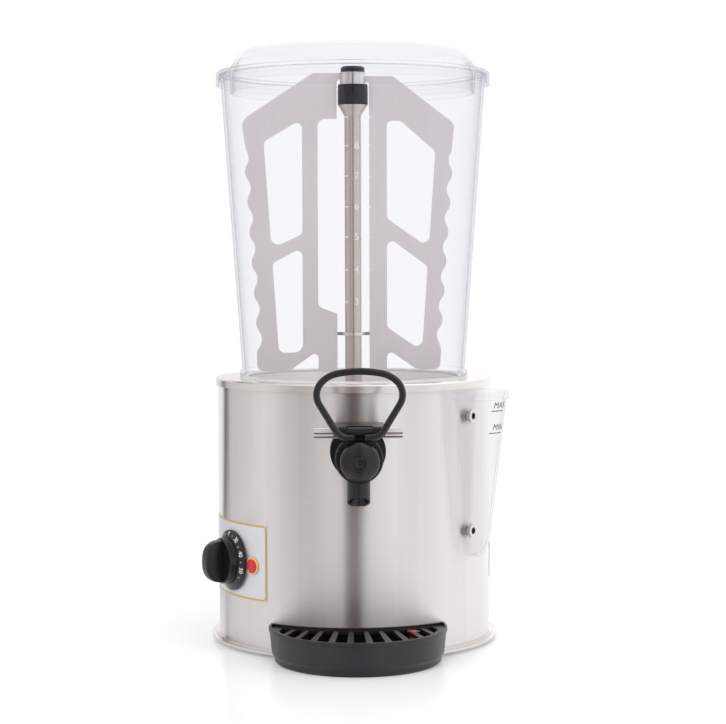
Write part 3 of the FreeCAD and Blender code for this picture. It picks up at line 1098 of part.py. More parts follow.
# Cord gland at the back, over the terminal block on the base plate
gland_at = ("0", "0", "gland_height")
node("cord_gland",
     turned("cord_gland_turned",
            [("gland_bore", "shell_radius - 12"), ("gland_radius - 0.4", "shell_radius - 12"),
                                                ("gland_radius - 0.4", "shell_radius + 0.6"),
                                                ("gland_radius + 3", "shell_radius + 0.6"),
                                                ("gland_radius + 3", "shell_radius + 4"),
                                                ("gland_radius + 1", "shell_radius + 10"),
                                                ("gland_bore", "shell_radius + 10")], gland_at, gland_turn))
node("gland_nut", tube("gland_nut_ring", "gland_radius + 4", "gland_radius - 0.4", "shell_radius - 9",
                       "shell_radius - 4", gland_at, gland_turn))
terminal_blank = box("terminal_blank", ("-76", "-20", plate_top), ("-58", "20", f"{plate_top} + 16"))
terminal_holes = [cylinder(f"terminal_hole_{i}", "2.2", "10", ("-67", f"{7 * i - 14}", f"{plate_top} + 8"))
                  for i in range(5)]
node("terminal_block", cut("terminal_block_cut", terminal_blank, *terminal_holes))


# Level cup: a clear tapered cup beside the body, joined to the bath by two short pipes
def cup_outline(width, depth, height, shrink, back):
    """The cup's flat-backed outline in its own frame: X across, Z outward, Y up."""
    half, front_depth = width / 2 - shrink, depth - shrink
    corner = FreeCAD.Vector(half, height, back + shrink)
    edge = back + front_depth * 0.45
    points = [FreeCAD.Vector(-half, height, back + shrink), corner,
              FreeCAD.Vector(half, height, edge), FreeCAD.Vector(0, height, back + front_depth),
              FreeCAD.Vector(-half, height, edge)]
    return Part.Wire([Part.LineSegment(points[0], points[1]).toShape(),
                      Part.LineSegment(points[1], points[2]).toShape(),
                      Part.Arc(points[2], points[3], points[4]).toShape(),
                      Part.LineSegment(points[4], points[0]).toShape()])


cup_back = size("shell_radius + cup_gap")
cup_low, cup_high, cup_wall = size("cup_bottom"), size("cup_top"), size("cup_wall")
top_plan, foot_plan = (size("cup_top_width"), size("cup_top_depth")), (size("cup_foot_width"),
                                                                       size("cup_foot_depth"))


def cup_sections(shrink, lift, top):
    """Outlines of the rounded foot, quarter-round in four steps, and of the cup's top."""
    first = math.cos(math.radians(30))
    outlines = []
    for angle in (30, 50, 70, 90):
        share, climb = math.sin(math.radians(angle)), 1 - math.cos(math.radians(angle)) / first
        outlines.append(cup_outline(foot_plan[0] * share, foot_plan[1] * share,
                                    cup_low + size("cup_round") * climb + lift, shrink, cup_back))
    return outlines + [cup_outline(*top_plan, top, shrink, cup_back)]


outside = Part.makeLoft(cup_sections(0, 0, cup_high), True, True)
inside = Part.makeLoft(cup_sections(cup_wall, cup_wall, cup_high + 0.5), True, True)
band_low = cup_high - size("cup_band")
band = Part.Face(cup_outline(*top_plan, band_low, -1, cup_back)).extrude(FreeCAD.Vector(0, size("cup_band"),
                                                                                        0))
cup_shape = outside.fuse(band).cut(inside)
for pipe_level in ("low_pipe", "high_pipe"):
    cup_shape = cup_shape.cut(Part.makeCylinder(size("cup_pipe_radius"), 8,
                                                FreeCAD.Vector(0, size(pipe_level), cup_back - 4)))
cup = drawn("level_cup_moulding", cup_shape.removeSplitter())
node("level_cup", place(cup, ("0", "0", "0"), cup_turn))
pipes = []
for pipe_level in ("low_pipe", "high_pipe"):
    pipe_at = ("0", "0", pipe_level)
    pipes.append(turned(f"{pipe_level}_sleeve",
                        [("cup_pipe_radius - cup_pipe_wall", "tank_radius - 3"),
                         ("cup_pipe_radius", "tank_radius - 3"),
                         ("cup_pipe_radius", "shell_radius + cup_gap + cup_wall"),
                         ("cup_pipe_radius + 2", "shell_radius + cup_gap + cup_wall"),
                         ("cup_pipe_radius + 2", "shell_radius + cup_gap + cup_wall + 2.5"),
                         ("cup_pipe_radius - cup_pipe_wall", "shell_radius + cup_gap + cup_wall + 2.5")],
                        pipe_at, cup_turn))
group("cup_pipes", pipes)
group("cup_spacers",
      [tube(f"cup_spacer_{pipe_level}", "cup_pipe_radius + 3", "cup_pipe_radius", "shell_radius",
                           "shell_radius + cup_gap", ("0", "0", pipe_level), cup_turn)
                      for pipe_level in ("low_pipe", "high_pipe")])

# Drip tray: a half-round tapered tray whose back follows the body
tray_at = ("0", "-tray_centre", "0")
tray_back = "shell_radius + tray_gap"
flange_clear = "plate_radius + tray_gap"
flange_step = f"{seat_top} + 1.5"
rim_band = "4"
tray_outer = turned("tray_outer", [("0", "0"), ("tray_foot - 1.5", "0"), ("tray_foot", "1.5"),
                                   ("tray_foot + 0.4", "5"), ("tray_foot + tray_step", "8"),
                                   ("tray_radius - 0.6", f"tray_height - {rim_band}"),
                                   ("tray_radius", f"tray_height - {rim_band} + 0.6"),
                                   ("tray_radius", "tray_height - 0.6"),
                                   ("tray_radius - 0.6", "tray_height"),
                                   ("0", "tray_height")], tray_at)
tray_inner = turned("tray_inner", [("0", "tray_wall"), ("tray_foot - tray_wall", "tray_wall"),
                                   ("tray_foot + 0.4 - tray_wall", "6"),
                                   ("tray_foot + tray_step - tray_wall", "9.5"),
                                   ("tray_radius - 1 - tray_wall - grille_ledge",
                                    "tray_height - grille_drop - grille_sheet"),
                                   ("tray_radius - tray_wall", "tray_height - grille_drop - grille_sheet"),
                                   ("tray_radius - tray_wall", "tray_height + 1"), ("0", "tray_height + 1")],
                    tray_at)
body_clear = cylinder("tray_body_clear", tray_back, "80", ("0", "0", "-20"))
plate_clear = cylinder("tray_plate_clear", flange_clear, f"20 + {flange_step}", ("0", "0", "-20"))
hollow_high = cylinder("hollow_high_back", f"{tray_back} + tray_wall", "80",
                       ("0", "0", f"{flange_step} + tray_wall"))
hollow_low = cylinder("hollow_low_back", f"{flange_clear} + tray_wall", f"20 + {flange_step} + tray_wall",
                      ("0", "0", "-20"))
tray_hollow = cut("tray_hollow", tray_inner, hollow_high, hollow_low)
node("drip_tray", cut("drip_tray_cut", tray_outer, body_clear, plate_clear, tray_hollow))

# Grille: a lift-out plate on the tray's ledge, its slots fanned from behind the body's axis
grille_low = "tray_height - grille_drop - grille_sheet"
grille_blank = cylinder("grille_blank", "tray_radius - tray_wall - 0.3", "grille_sheet",
                        ("0", "-tray_centre", grille_low))
grille_back = cylinder("grille_back", f"{tray_back} + tray_wall + 0.3", "40",
                       ("0", "0", f"{grille_low} - 10"))
slot_zone_disc = cylinder("slot_zone_disc", "tray_radius - tray_wall - slot_margin", "grille_sheet + 4",
                          ("0", "-tray_centre", f"{grille_low} - 2"))
slot_zone_back = cylinder("slot_zone_back", "slot_start", "60", ("0", "0", f"{grille_low} - 20"))
slot_zone = cut("slot_zone", slot_zone_disc, slot_zone_back)
slot_total = round(size("slot_count"))
slots = []
for i in range(slot_total):
    turn_angle = (i - (slot_total - 1) / 2) * size("slot_pitch")
    wedge = padded(f"slot_{i}", "XY_Plane",
                   [("-slot_half * 0.75", "-150"), ("-slot_half", "-240"),
                    ("slot_half", "-240"), ("slot_half * 0.75", "-150")],
                   "grille_sheet + 2", ("0", "slot_centre", f"{grille_low} - 1"),
                   FreeCAD.Rotation(FreeCAD.Vector(0, 0, 1), turn_angle))
    slots.append(wedge)
slot_cuts = common("slot_cuts", slot_zone, fuse("slot_wedges", *slots))
float_distance = f"({flange_clear} + float_disc + float_clear)"
float_x, float_y = f"{float_distance} * sin(float_angle)", f"-{float_distance} * cos(float_angle)"
socket = tube("float_socket_ring", "float_socket", "float_radius + 0.4", "0", "grille_sheet",
              (float_x, float_y, grille_low))
socket_hole = cylinder("float_socket_hole", "float_radius + 0.4", "grille_sheet + 2",
                       (float_x, float_y, f"{grille_low} - 1"))
grille_slotted = cut("grille_slotted", grille_blank, grille_back, slot_cuts)
node("drip_grille", cut("drip_grille_cut", fuse("grille_with_socket", grille_slotted, socket), socket_hole))

# Float: red button over a float disc, which rises through the grille when the tray is full
node("level_float",
     turned("level_float_turned",
            [("0", "tray_wall"), ("float_disc", "tray_wall"), ("float_disc", "tray_wall + 5"),
                                                  ("float_radius", "tray_wall + 5"),
                                                  ("float_radius", "tray_height - 2.5"),
                                                  ("float_radius - 1.2", "tray_height - 1.5"),
                                                  ("0", "tray_height - 1.2")],
                           (float_x, float_y, "0")))

doc.recompute()
broken = [item.Name for item in doc.Objects if "Invalid" in item.State or "Error" in item.State]
if broken:
    raise RuntimeError(f"features that failed: {broken}")
for label, piece in nodes.items():
    if piece.Shape.isNull() or not piece.Shape.isValid() or not piece.Shape.Solids:
        raise RuntimeError(f"{label} has no valid solid")
for label, piece in nodes.items():
    piece.Shape.exportStep(f"parts/{label}.step")
print(len(nodes), "sub-parts written")
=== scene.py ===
import math

import bmesh
import bpy
from mathutils import Matrix, Vector


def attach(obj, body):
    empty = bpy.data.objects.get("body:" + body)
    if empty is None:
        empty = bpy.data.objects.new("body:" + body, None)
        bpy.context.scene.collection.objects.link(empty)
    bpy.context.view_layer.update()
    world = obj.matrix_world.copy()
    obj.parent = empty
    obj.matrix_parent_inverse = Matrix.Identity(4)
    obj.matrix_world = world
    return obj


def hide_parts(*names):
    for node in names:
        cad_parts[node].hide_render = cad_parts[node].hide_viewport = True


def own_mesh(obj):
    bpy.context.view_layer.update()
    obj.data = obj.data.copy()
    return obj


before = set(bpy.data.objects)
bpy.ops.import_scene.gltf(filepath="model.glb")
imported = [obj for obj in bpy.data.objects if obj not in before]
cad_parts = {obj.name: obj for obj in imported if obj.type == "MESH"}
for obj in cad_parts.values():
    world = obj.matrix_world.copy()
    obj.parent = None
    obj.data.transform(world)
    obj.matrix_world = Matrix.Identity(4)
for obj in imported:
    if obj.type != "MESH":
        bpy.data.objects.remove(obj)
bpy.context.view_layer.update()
bpy.context.scene.view_settings.view_transform = "Standard"
bpy.context.scene.cycles.transparent_max_bounces = 32


# Camera
# It stands 1.8 m in front of the machine, a little to the left of the tap and above the machine's middle.
# It looks slightly down, leans a hair to one side and aims a little to the right of the machine's axis.
camera_distance, camera_height = 1.771, 0.353
camera_turn, camera_tilt, camera_lean, aim_right = (
    math.radians(angle) for angle in (-1.55, 3.24, -0.17, 0.28))
camera_data = bpy.data.cameras.new("camera")
camera_data.lens, camera_data.sensor_width, camera_data.sensor_fit = 95.45, 36, "HORIZONTAL"
camera_data.clip_start, camera_data.clip_end = 0.05, 40
camera = bpy.data.objects.new("camera", camera_data)
camera.location = (math.sin(camera_turn) * camera_distance,
                   -math.cos(camera_turn) * camera_distance, camera_height)
camera.rotation_euler = (Matrix.Rotation(camera_turn - aim_right, 3, "Z")
                         @ Matrix.Rotation(math.pi / 2 - camera_tilt, 3, "X")
                         @ Matrix.Rotation(camera_lean, 3, "Z")).to_euler()
bpy.context.collection.objects.link(camera)
bpy.context.scene.camera = camera


# Room
# A white table top that runs back into a white room, lit evenly from all round with three soft lamps.
# Polished metal sees pale grey screens round the table, with a dark one behind on the left and one in front.
class Wire:
    """A socket among a finish's nodes. Sums and products of wires and numbers add Math nodes."""

    def __init__(self, tree, socket=None):
        self.tree, self.socket = tree, socket

    def node(self, kind, settings, inputs, output=0):
        """Adds any node: its settings go first, then the numbers, colours or wires of its sockets."""
        made = self.tree.nodes.new("ShaderNode" + kind)
        for name, value in settings.items():
            if name == "stops":
                ramp = made.color_ramp
                while len(ramp.elements) < len(value):
                    ramp.elements.new(0.5)
                for element, (position, shade) in zip(ramp.elements, value):
                    element.position = position
                    element.color = (*shade, 1) if isinstance(shade, tuple) else (shade, shade, shade, 1)
            else:
                setattr(made, name, value)
        for name, value in inputs.items():
            if isinstance(value, Wire):
                self.tree.links.new(value.socket, made.inputs[name])
            else:
                made.inputs[name].default_value = value
        return Wire(self.tree, made.outputs[output])

    def maths(self, operation, *values):
        return self.node("Math", {"operation": operation}, dict(enumerate(values)))

    def __add__(self, other):
        return self.maths("ADD", self, other)

    def __sub__(self, other):
        return self.maths("SUBTRACT", self, other)

    def __rsub__(self, other):
        return self.maths("SUBTRACT", other, self)

    def __mul__(self, other):
        return self.maths("MULTIPLY", self, other)

    def __truediv__(self, other):
        return self.maths("DIVIDE", self, other)

    __radd__, __rmul__ = __add__, __mul__

    def blend(self, first, second):
        """The first colour where this wire is 0 and the second where it is 1."""
        return self.node("Mix", {"data_type": "RGBA"}, {0: self, 6: first, 7: second}, 2)

    def parts(self):
        """The three numbers of a vector."""
        return [self.node("SeparateXYZ", {}, {0: self}, axis) for axis in range(3)]


world = bpy.data.worlds.new("room")
bpy.context.scene.world = world
world.use_nodes = True
room_tree = world.node_tree
room_tree.nodes.clear()
room = Wire(room_tree)


def screens(east, north):
    """The shade of the screen in this direction, round from the back over the left to the back."""
    bearing = east.maths("ARCTAN2", east, 0 - north) / (2 * math.pi) + 0.5
    return bearing.node("ValToRGB", {"stops": [
        (0.0, 1.0), (0.08, 1.0), (0.1, (0.9, 0.88, 0.87)), (0.107, 0.0), (0.123, 0.0),
        (0.134, (0.72, 0.7, 0.69)), (0.2, (0.8, 0.765, 0.75)), (0.285, (0.95, 0.91, 0.9)),
        (0.345, (0.66, 0.62, 0.61)), (0.385, (0.57, 0.54, 0.53)), (0.44, (0.8, 0.77, 0.76)),
        (0.472, (0.86, 0.82, 0.81)), (0.48, (0.16, 0.11, 0.1)), (0.508, (0.16, 0.11, 0.1)),
        (0.518, (0.86, 0.83, 0.82)), (0.545, 0.9), (0.585, 1.04), (0.63, 0.88), (0.7, 1.08), (0.9, 1.2)
    ]}, {"Fac": bearing})


east, north, up = room.node("TexCoord", {}, {}, "Generated").parts()
glossy = room.node("LightPath", {}, {}, "Is Glossy Ray")
seen = room.maths("MAXIMUM", room.node("LightPath", {}, {}, "Is Camera Ray"),
                  room.node("LightPath", {}, {}, "Is Transmission Ray"))
even_light, white = (0.8, 0.8, 0.81, 1), (1, 1, 1, 1)
room_colour = seen.blend(glossy.blend(even_light, screens(east, north)), white)
overhead = up.node("MapRange", {"interpolation_type": "SMOOTHSTEP"},
                   {"Value": up, "From Min": 0.3, "From Max": 0.9, "To Min": 0.0, "To Max": 0.35})
room_light = room.node("Background", {},
                       {"Color": room_colour, "Strength": 1 + glossy * overhead * (1 - seen)})
room_end = room_tree.nodes.new("ShaderNodeOutputWorld")
room_tree.links.new(room_light.socket, room_end.inputs["Surface"])

lamp_aim = Vector((0, 0, 0.25))
for name, spot, width, power in (
        ("lamp_left", (-1.3, -1.5, 1.5), 1.0, 14), ("lamp_right", (1.7, -1.1, 1.2), 0.8, 8),
        ("lamp_above", (0.2, -0.3, 2.1), 1.2, 13)):
    lamp_data = bpy.data.lights.new(name, "AREA")
    lamp_data.shape, lamp_data.size, lamp_data.energy = "DISK", width, power
    lamp = bpy.data.objects.new(name, lamp_data)
    lamp.location = spot
    lamp.rotation_euler = (Vector(spot) - lamp_aim).to_track_quat("Z", "Y").to_euler()
    lamp.visible_glossy = False
    bpy.context.collection.objects.link(lamp)


def finish(name, colour, roughness, metallic=0.0, **shine):
    """A new finish: its material, its shader and a wire with the piece's own coordinates in metres."""
    made = bpy.data.materials.new(name)
    made.use_nodes = True
    shader = made.node_tree.nodes["Principled BSDF"]
    shader.inputs["Base Color"].default_value = (*colour, 1)
    shader.inputs["Roughness"].default_value = roughness
    shader.inputs["Metallic"].default_value = metallic
    for socket, value in shine.items():
        shader.inputs[socket.replace("_", " ")].default_value = value
    return made, shader, Wire(made.node_tree).node("TexCoord", {}, {}, "Object")


def feed(shader, **wires):
    """Joins wires to the shader's sockets."""
    for socket, wire in wires.items():
        wire.tree.links.new(wire.socket, shader.inputs[socket.replace("_", " ")])


def stretched(place, scale, detail):
    """Noise from 0 to 1 whose grain is scaled apart along X, Y and Z, in grains per metre."""
    moved = place.node("Mapping", {}, {"Vector": place, "Scale": scale})
    return place.node("TexNoise", {}, {"Vector": moved, "Scale": 1.0, "Detail": detail, "Roughness": 0.5})


def bumps(shader, height, distance):
    """Raises the surface by a wire's height over this distance in metres."""
    raised = height.node("Bump", {}, {"Height": height, "Distance": distance, "Strength": 1.0})
    feed(shader, Normal=raised)


def surface(made, wire):
    """Gives the material this wire as its surface."""
    end = next(node for node in made.node_tree.nodes if node.type == "OUTPUT_MATERIAL")
    made.node_tree.links.new(wire.socket, end.inputs["Surface"])


def form(name, operator, **measures):
    """A new mesh made by one bmesh operator."""
    made = bmesh.new()
    operator(made, **measures)
    mesh = bpy.data.meshes.new(name)
    made.to_mesh(mesh)
    made.free()
    return mesh


table_mesh = form("table_top", bmesh.ops.create_grid, x_segments=2, y_segments=2, size=9)
table = bpy.data.objects.new("table_top", table_mesh)
bpy.context.collection.objects.link(table)
white_top, top_shader, top_place = finish("white_table", (0.94, 0.94, 0.945), 0.22, Specular_IOR_Level=0.4)
reach_x, reach_y = top_place.parts()[:2]
reach = top_place.maths("SQRT", reach_x * reach_x + reach_y * reach_y)
far = reach.node("MapRange", {"interpolation_type": "SMOOTHSTEP"},
                 {"Value": reach, "From Min": 0.16, "From Max": 0.62, "To Min": 0.22, "To Max": 1.0})
mirrored = top_place.node("LightPath", {}, {}, "Is Glossy Ray")
paper_shade = mirrored.blend(white, screens(reach_x, reach_y))
paper_white = top_place.node("Emission", {}, {"Color": paper_shade, "Strength": 1.0})
near_top = Wire(white_top.node_tree, top_shader.outputs[0])
surface(white_top, far.node("MixShader", {}, {0: far, 1: near_top, 2: paper_white}))
table_mesh.materials.append(white_top)


def dress(made, *names):
    """Gives the model's own pieces this finish."""
    for name in names:
        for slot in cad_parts[name].material_slots:
            slot.material = made


# Body, cover and base plate
# Rolled and pressed stainless sheet, brushed round the body so that light stands on it in upright bands.
# The cover sits over the body's edge and the base plate's flange shows under it.
body_steel, steel_shader, steel_place = finish("brushed_body_steel", (0.78, 0.76, 0.75), 0.33, 1.0,
                                               Anisotropic=1.0, Anisotropic_Rotation=0.25)
brush_lines = stretched(steel_place, (9, 9, 2600), 3)
soft_patches = stretched(steel_place, (7, 7, 3), 2)
rolling_streaks = stretched(steel_place, (130, 130, 1.2), 3)
feed(steel_shader, Roughness=0.28 + brush_lines * 0.06 + soft_patches * 0.04,
     Base_Color=(brush_lines * 0.35 + soft_patches * 0.25 + rolling_streaks * 0.4).blend(
         (0.66, 0.645, 0.635, 1), (0.86, 0.845, 0.835, 1)))
bumps(steel_shader, brush_lines, 0.00001)
dress(body_steel, "body_shell")
edge_steel, edge_shader, edge_place = finish("rolled_edge_steel", (0.72, 0.71, 0.7), 0.22, 1.0)
edge_lines = stretched(edge_place, (60, 60, 1800), 3)
feed(edge_shader, Roughness=0.17 + edge_lines * 0.14,
     Base_Color=edge_lines.blend((0.67, 0.645, 0.63, 1), (0.79, 0.765, 0.75, 1)))
bumps(edge_shader, edge_lines, 0.00001)
dress(edge_steel, "top_cover", "base_plate")


# Feet
# Four black rubber feet with their screws, under the base plate. The tap's gasket is of the same rubber.
foot_rubber, rubber_shader, rubber_place = finish("foot_rubber", (0.03, 0.03, 0.031), 0.75)
rubber_grain = stretched(rubber_place, (900, 900, 900), 4)
feed(rubber_shader, Roughness=0.68 + rubber_grain * 0.2,
     Base_Color=rubber_grain.blend((0.022, 0.022, 0.023, 1), (0.045, 0.045, 0.046, 1)))
bumps(rubber_shader, rubber_grain, 0.0001)
dress(foot_rubber, "rubber_feet", "tap_gasket")
bright_steel, bright_shader, bright_place = finish("bright_turned_steel", (0.72, 0.71, 0.7), 0.2, 1.0)
turning_marks = stretched(bright_place, (500, 500, 3000), 3)
feed(bright_shader, Roughness=0.14 + turning_marks * 0.16,
     Base_Color=turning_marks.blend((0.64, 0.63, 0.62, 1), (0.78, 0.77, 0.76, 1)))
dress(bright_steel, "foot_screws", "middle_gear_pin", "tap_spring")


# Works inside the body
# A plated steel stand carries the water bath and, under it, the gearmotor with its fan and coil.
# The heater's rod, the cut-out, the bulb and the terminal block sit round them.
def layers(place, scale):
    """Level bands from 0 to 1, as sheets or turns of wire that lie on one another."""
    return place.node("TexWave", {"bands_direction": "Z"}, {"Vector": place, "Scale": scale})


plated_steel, plated_shader, plated_place = finish("plated_steel", (0.55, 0.55, 0.54), 0.35, 1.0)
plating = stretched(plated_place, (60, 60, 60), 5)
feed(plated_shader, Roughness=0.26 + plating * 0.22,
     Base_Color=plating.blend((0.48, 0.48, 0.46, 1), (0.62, 0.615, 0.6, 1)))
dress(plated_steel, "motor_stand", "water_tank", "heating_element", "overheat_cutout", "motor_posts",
      "motor_rotor")
brass, brass_shader, brass_place = finish("turned_brass", (0.66, 0.5, 0.22), 0.3, 1.0)
brass_marks = stretched(brass_place, (400, 400, 2600), 3)
feed(brass_shader, Roughness=0.22 + brass_marks * 0.18,
     Base_Color=brass_marks.blend((0.58, 0.42, 0.17, 1), (0.74, 0.58, 0.28, 1)))
dress(brass, "element_nuts", "sensor_bulb")
cast_alloy, cast_shader, cast_place = finish("cast_alloy", (0.5, 0.5, 0.5), 0.55, 0.9)
casting = stretched(cast_place, (700, 700, 700), 4)
feed(cast_shader, Roughness=0.48 + casting * 0.2,
     Base_Color=casting.blend((0.4, 0.4, 0.41, 1), (0.55, 0.55, 0.55, 1)))
bumps(cast_shader, casting, 0.00015)
dress(cast_alloy, "gearbox_housing")
laminations, stack_shader, stack_place = finish("stacked_sheets", (0.2, 0.2, 0.21), 0.5, 0.7)
stack_lines = layers(stack_place, 320.0)
feed(stack_shader, Roughness=0.4 + stack_lines * 0.2,
     Base_Color=stack_lines.blend((0.09, 0.09, 0.1, 1), (0.26, 0.26, 0.27, 1)))
dress(laminations, "motor_stator")
copper_wire, copper_shader, copper_place = finish("varnished_wire", (0.5, 0.2, 0.08), 0.35, 0.6)
winding_lines = layers(copper_place, 480.0)
feed(copper_shader, Roughness=0.28 + winding_lines * 0.15,
     Base_Color=winding_lines.blend((0.28, 0.1, 0.04, 1), (0.62, 0.27, 0.11, 1)))
bumps(copper_shader, winding_lines, 0.0003)
dress(copper_wire, "motor_coil")
pale_plastic, pale_shader, pale_place = finish("pale_moulded_plastic", (0.8, 0.79, 0.74), 0.45)
pale_grain = stretched(pale_place, (300, 300, 300), 4)
feed(pale_shader, Roughness=0.4 + pale_grain * 0.14,
     Base_Color=pale_grain.blend((0.74, 0.73, 0.67, 1), (0.86, 0.85, 0.81, 1)))
dress(pale_plastic, "shaft_bushes", "output_gear", "middle_gear", "terminal_block", "thermostat")


# Gasket and bowl
# A thin pale ring on the cover and, on it, the clear tapered bowl with a thick foot and rim.
# The bowl is see-through plastic: its walls show as faint grey lines where they turn away.
def clear_finish(name, colour, haze, shade, edge, crown=10.0):
    """Clear plastic: haze covers the view straight on, shade a wall that turns away and edge its outline.

    Above the level crown, which is out of reach unless given, flat walls seen nearly edge on keep clear.
    """
    made, shader, place = finish(name, colour, 0.08, Specular_IOR_Level=0.12)
    smears = stretched(place, (14, 14, 5), 3)
    feed(shader, Roughness=0.05 + smears * 0.06)
    facing = place.node("LayerWeight", {}, {"Blend": 0.5}, "Facing")
    below_crown = place.maths("LESS_THAN", place.parts()[2], crown)
    broad_edge, fine_edge = (facing.maths("POWER", facing, steepness) * edge for steepness in (9.0, 24.0))
    outline = broad_edge * below_crown + fine_edge
    cover = haze * (0.7 + smears * 0.6) + facing * facing * below_crown * shade + outline
    clear = place.node("BsdfTransparent", {}, {"Color": (0.99, 0.99, 0.995, 1)})
    plastic = Wire(made.node_tree, shader.outputs[0])
    surface(made, place.node("MixShader", {}, {0: cover, 1: clear, 2: plastic}))
    return made


clear_plastic = clear_finish("clear_bowl_plastic", (0.24, 0.225, 0.3), 0.01, 0.045, 0.8)
dress(clear_plastic, "bowl")
pot_steel, pot_shader, pot_place = finish("satin_pot_steel", (0.86, 0.86, 0.86), 0.4, 0.4)
pot_marks = stretched(pot_place, (30, 30, 900), 3)
feed(pot_shader, Roughness=0.34 + pot_marks * 0.12,
     Base_Color=pot_marks.blend((0.82, 0.81, 0.81, 1), (0.93, 0.92, 0.92, 1)))
dress(pot_steel, "product_pot")
silicone, silicone_shader, silicone_place = finish("pale_silicone", (0.8, 0.8, 0.78), 0.5)
silicone_grain = stretched(silicone_place, (200, 200, 200), 3)
feed(silicone_shader, Roughness=0.45 + silicone_grain * 0.12,
     Base_Color=silicone_grain.blend((0.75, 0.75, 0.73, 1), (0.85, 0.85, 0.84, 1)))
dress(silicone, "bowl_gasket", "tap_seal")


capital_share = 0.7


def lettering(name, words, height, depth, made, body, spot, slant=0.0):
    """Raised figures: drawn flat round the origin, then set in place by spot, a rule for a point."""
    text = bpy.data.curves.new(name, "FONT")
    text.body, text.size, text.align_x, text.align_y = words, height / capital_share, "CENTER", "CENTER"
    text.extrude, text.shear = depth / 2, slant
    writer = bpy.data.objects.new(name, text)
    bpy.context.collection.objects.link(writer)
    flat = bpy.data.meshes.new_from_object(writer)
    bpy.data.objects.remove(writer)
    return settle(name, flat, made, body, spot)


def settle(name, mesh, made, body, spot=None):
    """Puts a mesh in the scene as a piece: moved by spot, dressed, and riding on its body."""
    if spot:
        for vertex in mesh.vertices:
            vertex.co = spot(vertex.co)
    mesh.materials.clear()
    mesh.materials.append(made)
    piece = bpy.data.objects.new(name, mesh)
    bpy.context.collection.objects.link(piece)
    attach(piece, body)
    return piece


bowl_foot_level, bowl_rim_level, bowl_foot_radius, bowl_rim_radius = 0.2462, 0.5106, 0.1022, 0.1207
mark_gap, mark_depth, figure_height = 0.0002, 0.0004, 0.0058
tick_aside, tick_width, tick_height = 0.0098, 0.0052, 0.0009


def on_bowl(level):
    """The rule that wraps a flat figure on the bowl's front at this level."""
    def spot(point):
        height = level + point.y
        share = (height - bowl_foot_level) / (bowl_rim_level - bowl_foot_level)
        radius = bowl_foot_radius + (bowl_rim_radius - bowl_foot_radius) * share + point.z + mark_gap
        turn = point.x / radius
        return Vector((radius * math.sin(turn), -radius * math.cos(turn), height))
    return spot


white_mark, mark_shader, mark_place = finish("raised_white_mark", (0.86, 0.87, 0.88), 0.3, Alpha=0.42)
mark_grain = stretched(mark_place, (500, 500, 500), 2)
feed(mark_shader, Roughness=0.25 + mark_grain * 0.1)
litre_levels = {9: 0.469, 8: 0.4447, 7: 0.4189, 6: 0.3927, 5: 0.3668, 4: 0.3385, 3: 0.3109}
for litres, level in litre_levels.items():
    # The highest mark has ticks alone.
    if litres < max(litre_levels):
        lettering(f"litre_{litres}", str(litres), figure_height, mark_depth, white_mark,
                  "base", on_bowl(level))
    for side, side_name in ((-1, "left"), (1, "right")):
        tick_mesh = form(f"tick_{litres}_{side}", bmesh.ops.create_cube, size=1,
                         matrix=Matrix.Translation((side * tick_aside, 0, 0))
                         @ Matrix.Diagonal((tick_width, tick_height, mark_depth, 1)))
        settle(f"tick_{litres}_{side_name}", tick_mesh, white_mark, "base", on_bowl(level))


# Lid
# The loose clear lid: a low dome, a skirt round the bowl's rim and a ring that stands inside it.
clear_lid = clear_finish("clear_lid_plastic", (0.22, 0.21, 0.28), 0.008, 0.03, 0.8, 0.5275)
dress(clear_lid, "lid")


# Stirrer
# A steel tube stands in the bowl. The shaft inside turns a black collar, a steel hub and a black cap nut,
# and they carry two flat satin paddles that a steel clip guides round the tube.
stirrer_steel, satin_shader, satin_place = finish("satin_paddle_steel", (0.7, 0.66, 0.68), 0.4, 0.6)
sheet_grain = stretched(satin_place, (1400, 300, 16), 3)
sheet_patches = stretched(satin_place, (12, 12, 9), 2)
feed(satin_shader, Roughness=0.34 + sheet_grain * 0.1 + sheet_patches * 0.06,
     Base_Color=(sheet_grain * 0.5 + sheet_patches * 0.5).blend(
         (0.65, 0.615, 0.625, 1), (0.85, 0.815, 0.83, 1)))
dress(stirrer_steel, "left_paddle", "right_paddle")
tube_steel, tube_shader, tube_place = finish("ground_tube_steel", (0.6, 0.55, 0.53), 0.3, 1.0,
                                             Anisotropic=0.8, Anisotropic_Rotation=0.25)
tube_lines = stretched(tube_place, (200, 200, 1800), 3)
feed(tube_shader, Roughness=0.26 + tube_lines * 0.14,
     Base_Color=tube_lines.blend((0.52, 0.47, 0.455, 1), (0.68, 0.62, 0.6, 1)))
dress(tube_steel, "stirrer_tube")
dress(bright_steel, "drive_shaft", "paddle_hub", "guide_clip")
black_plastic, black_shader, black_place = finish("black_moulded_plastic", (0.005, 0.005, 0.006), 0.28)
moulding = stretched(black_place, (650, 650, 650), 4)
black_patches = stretched(black_place, (40, 40, 40), 2)
feed(black_shader, Roughness=0.22 + moulding * 0.08 + black_patches * 0.06,
     Base_Color=moulding.blend((0.002, 0.002, 0.0025, 1), (0.007, 0.0065, 0.008, 1)))
bumps(black_shader, moulding, 0.00004)
dress(black_plastic, "shaft_collar", "cap_nut")


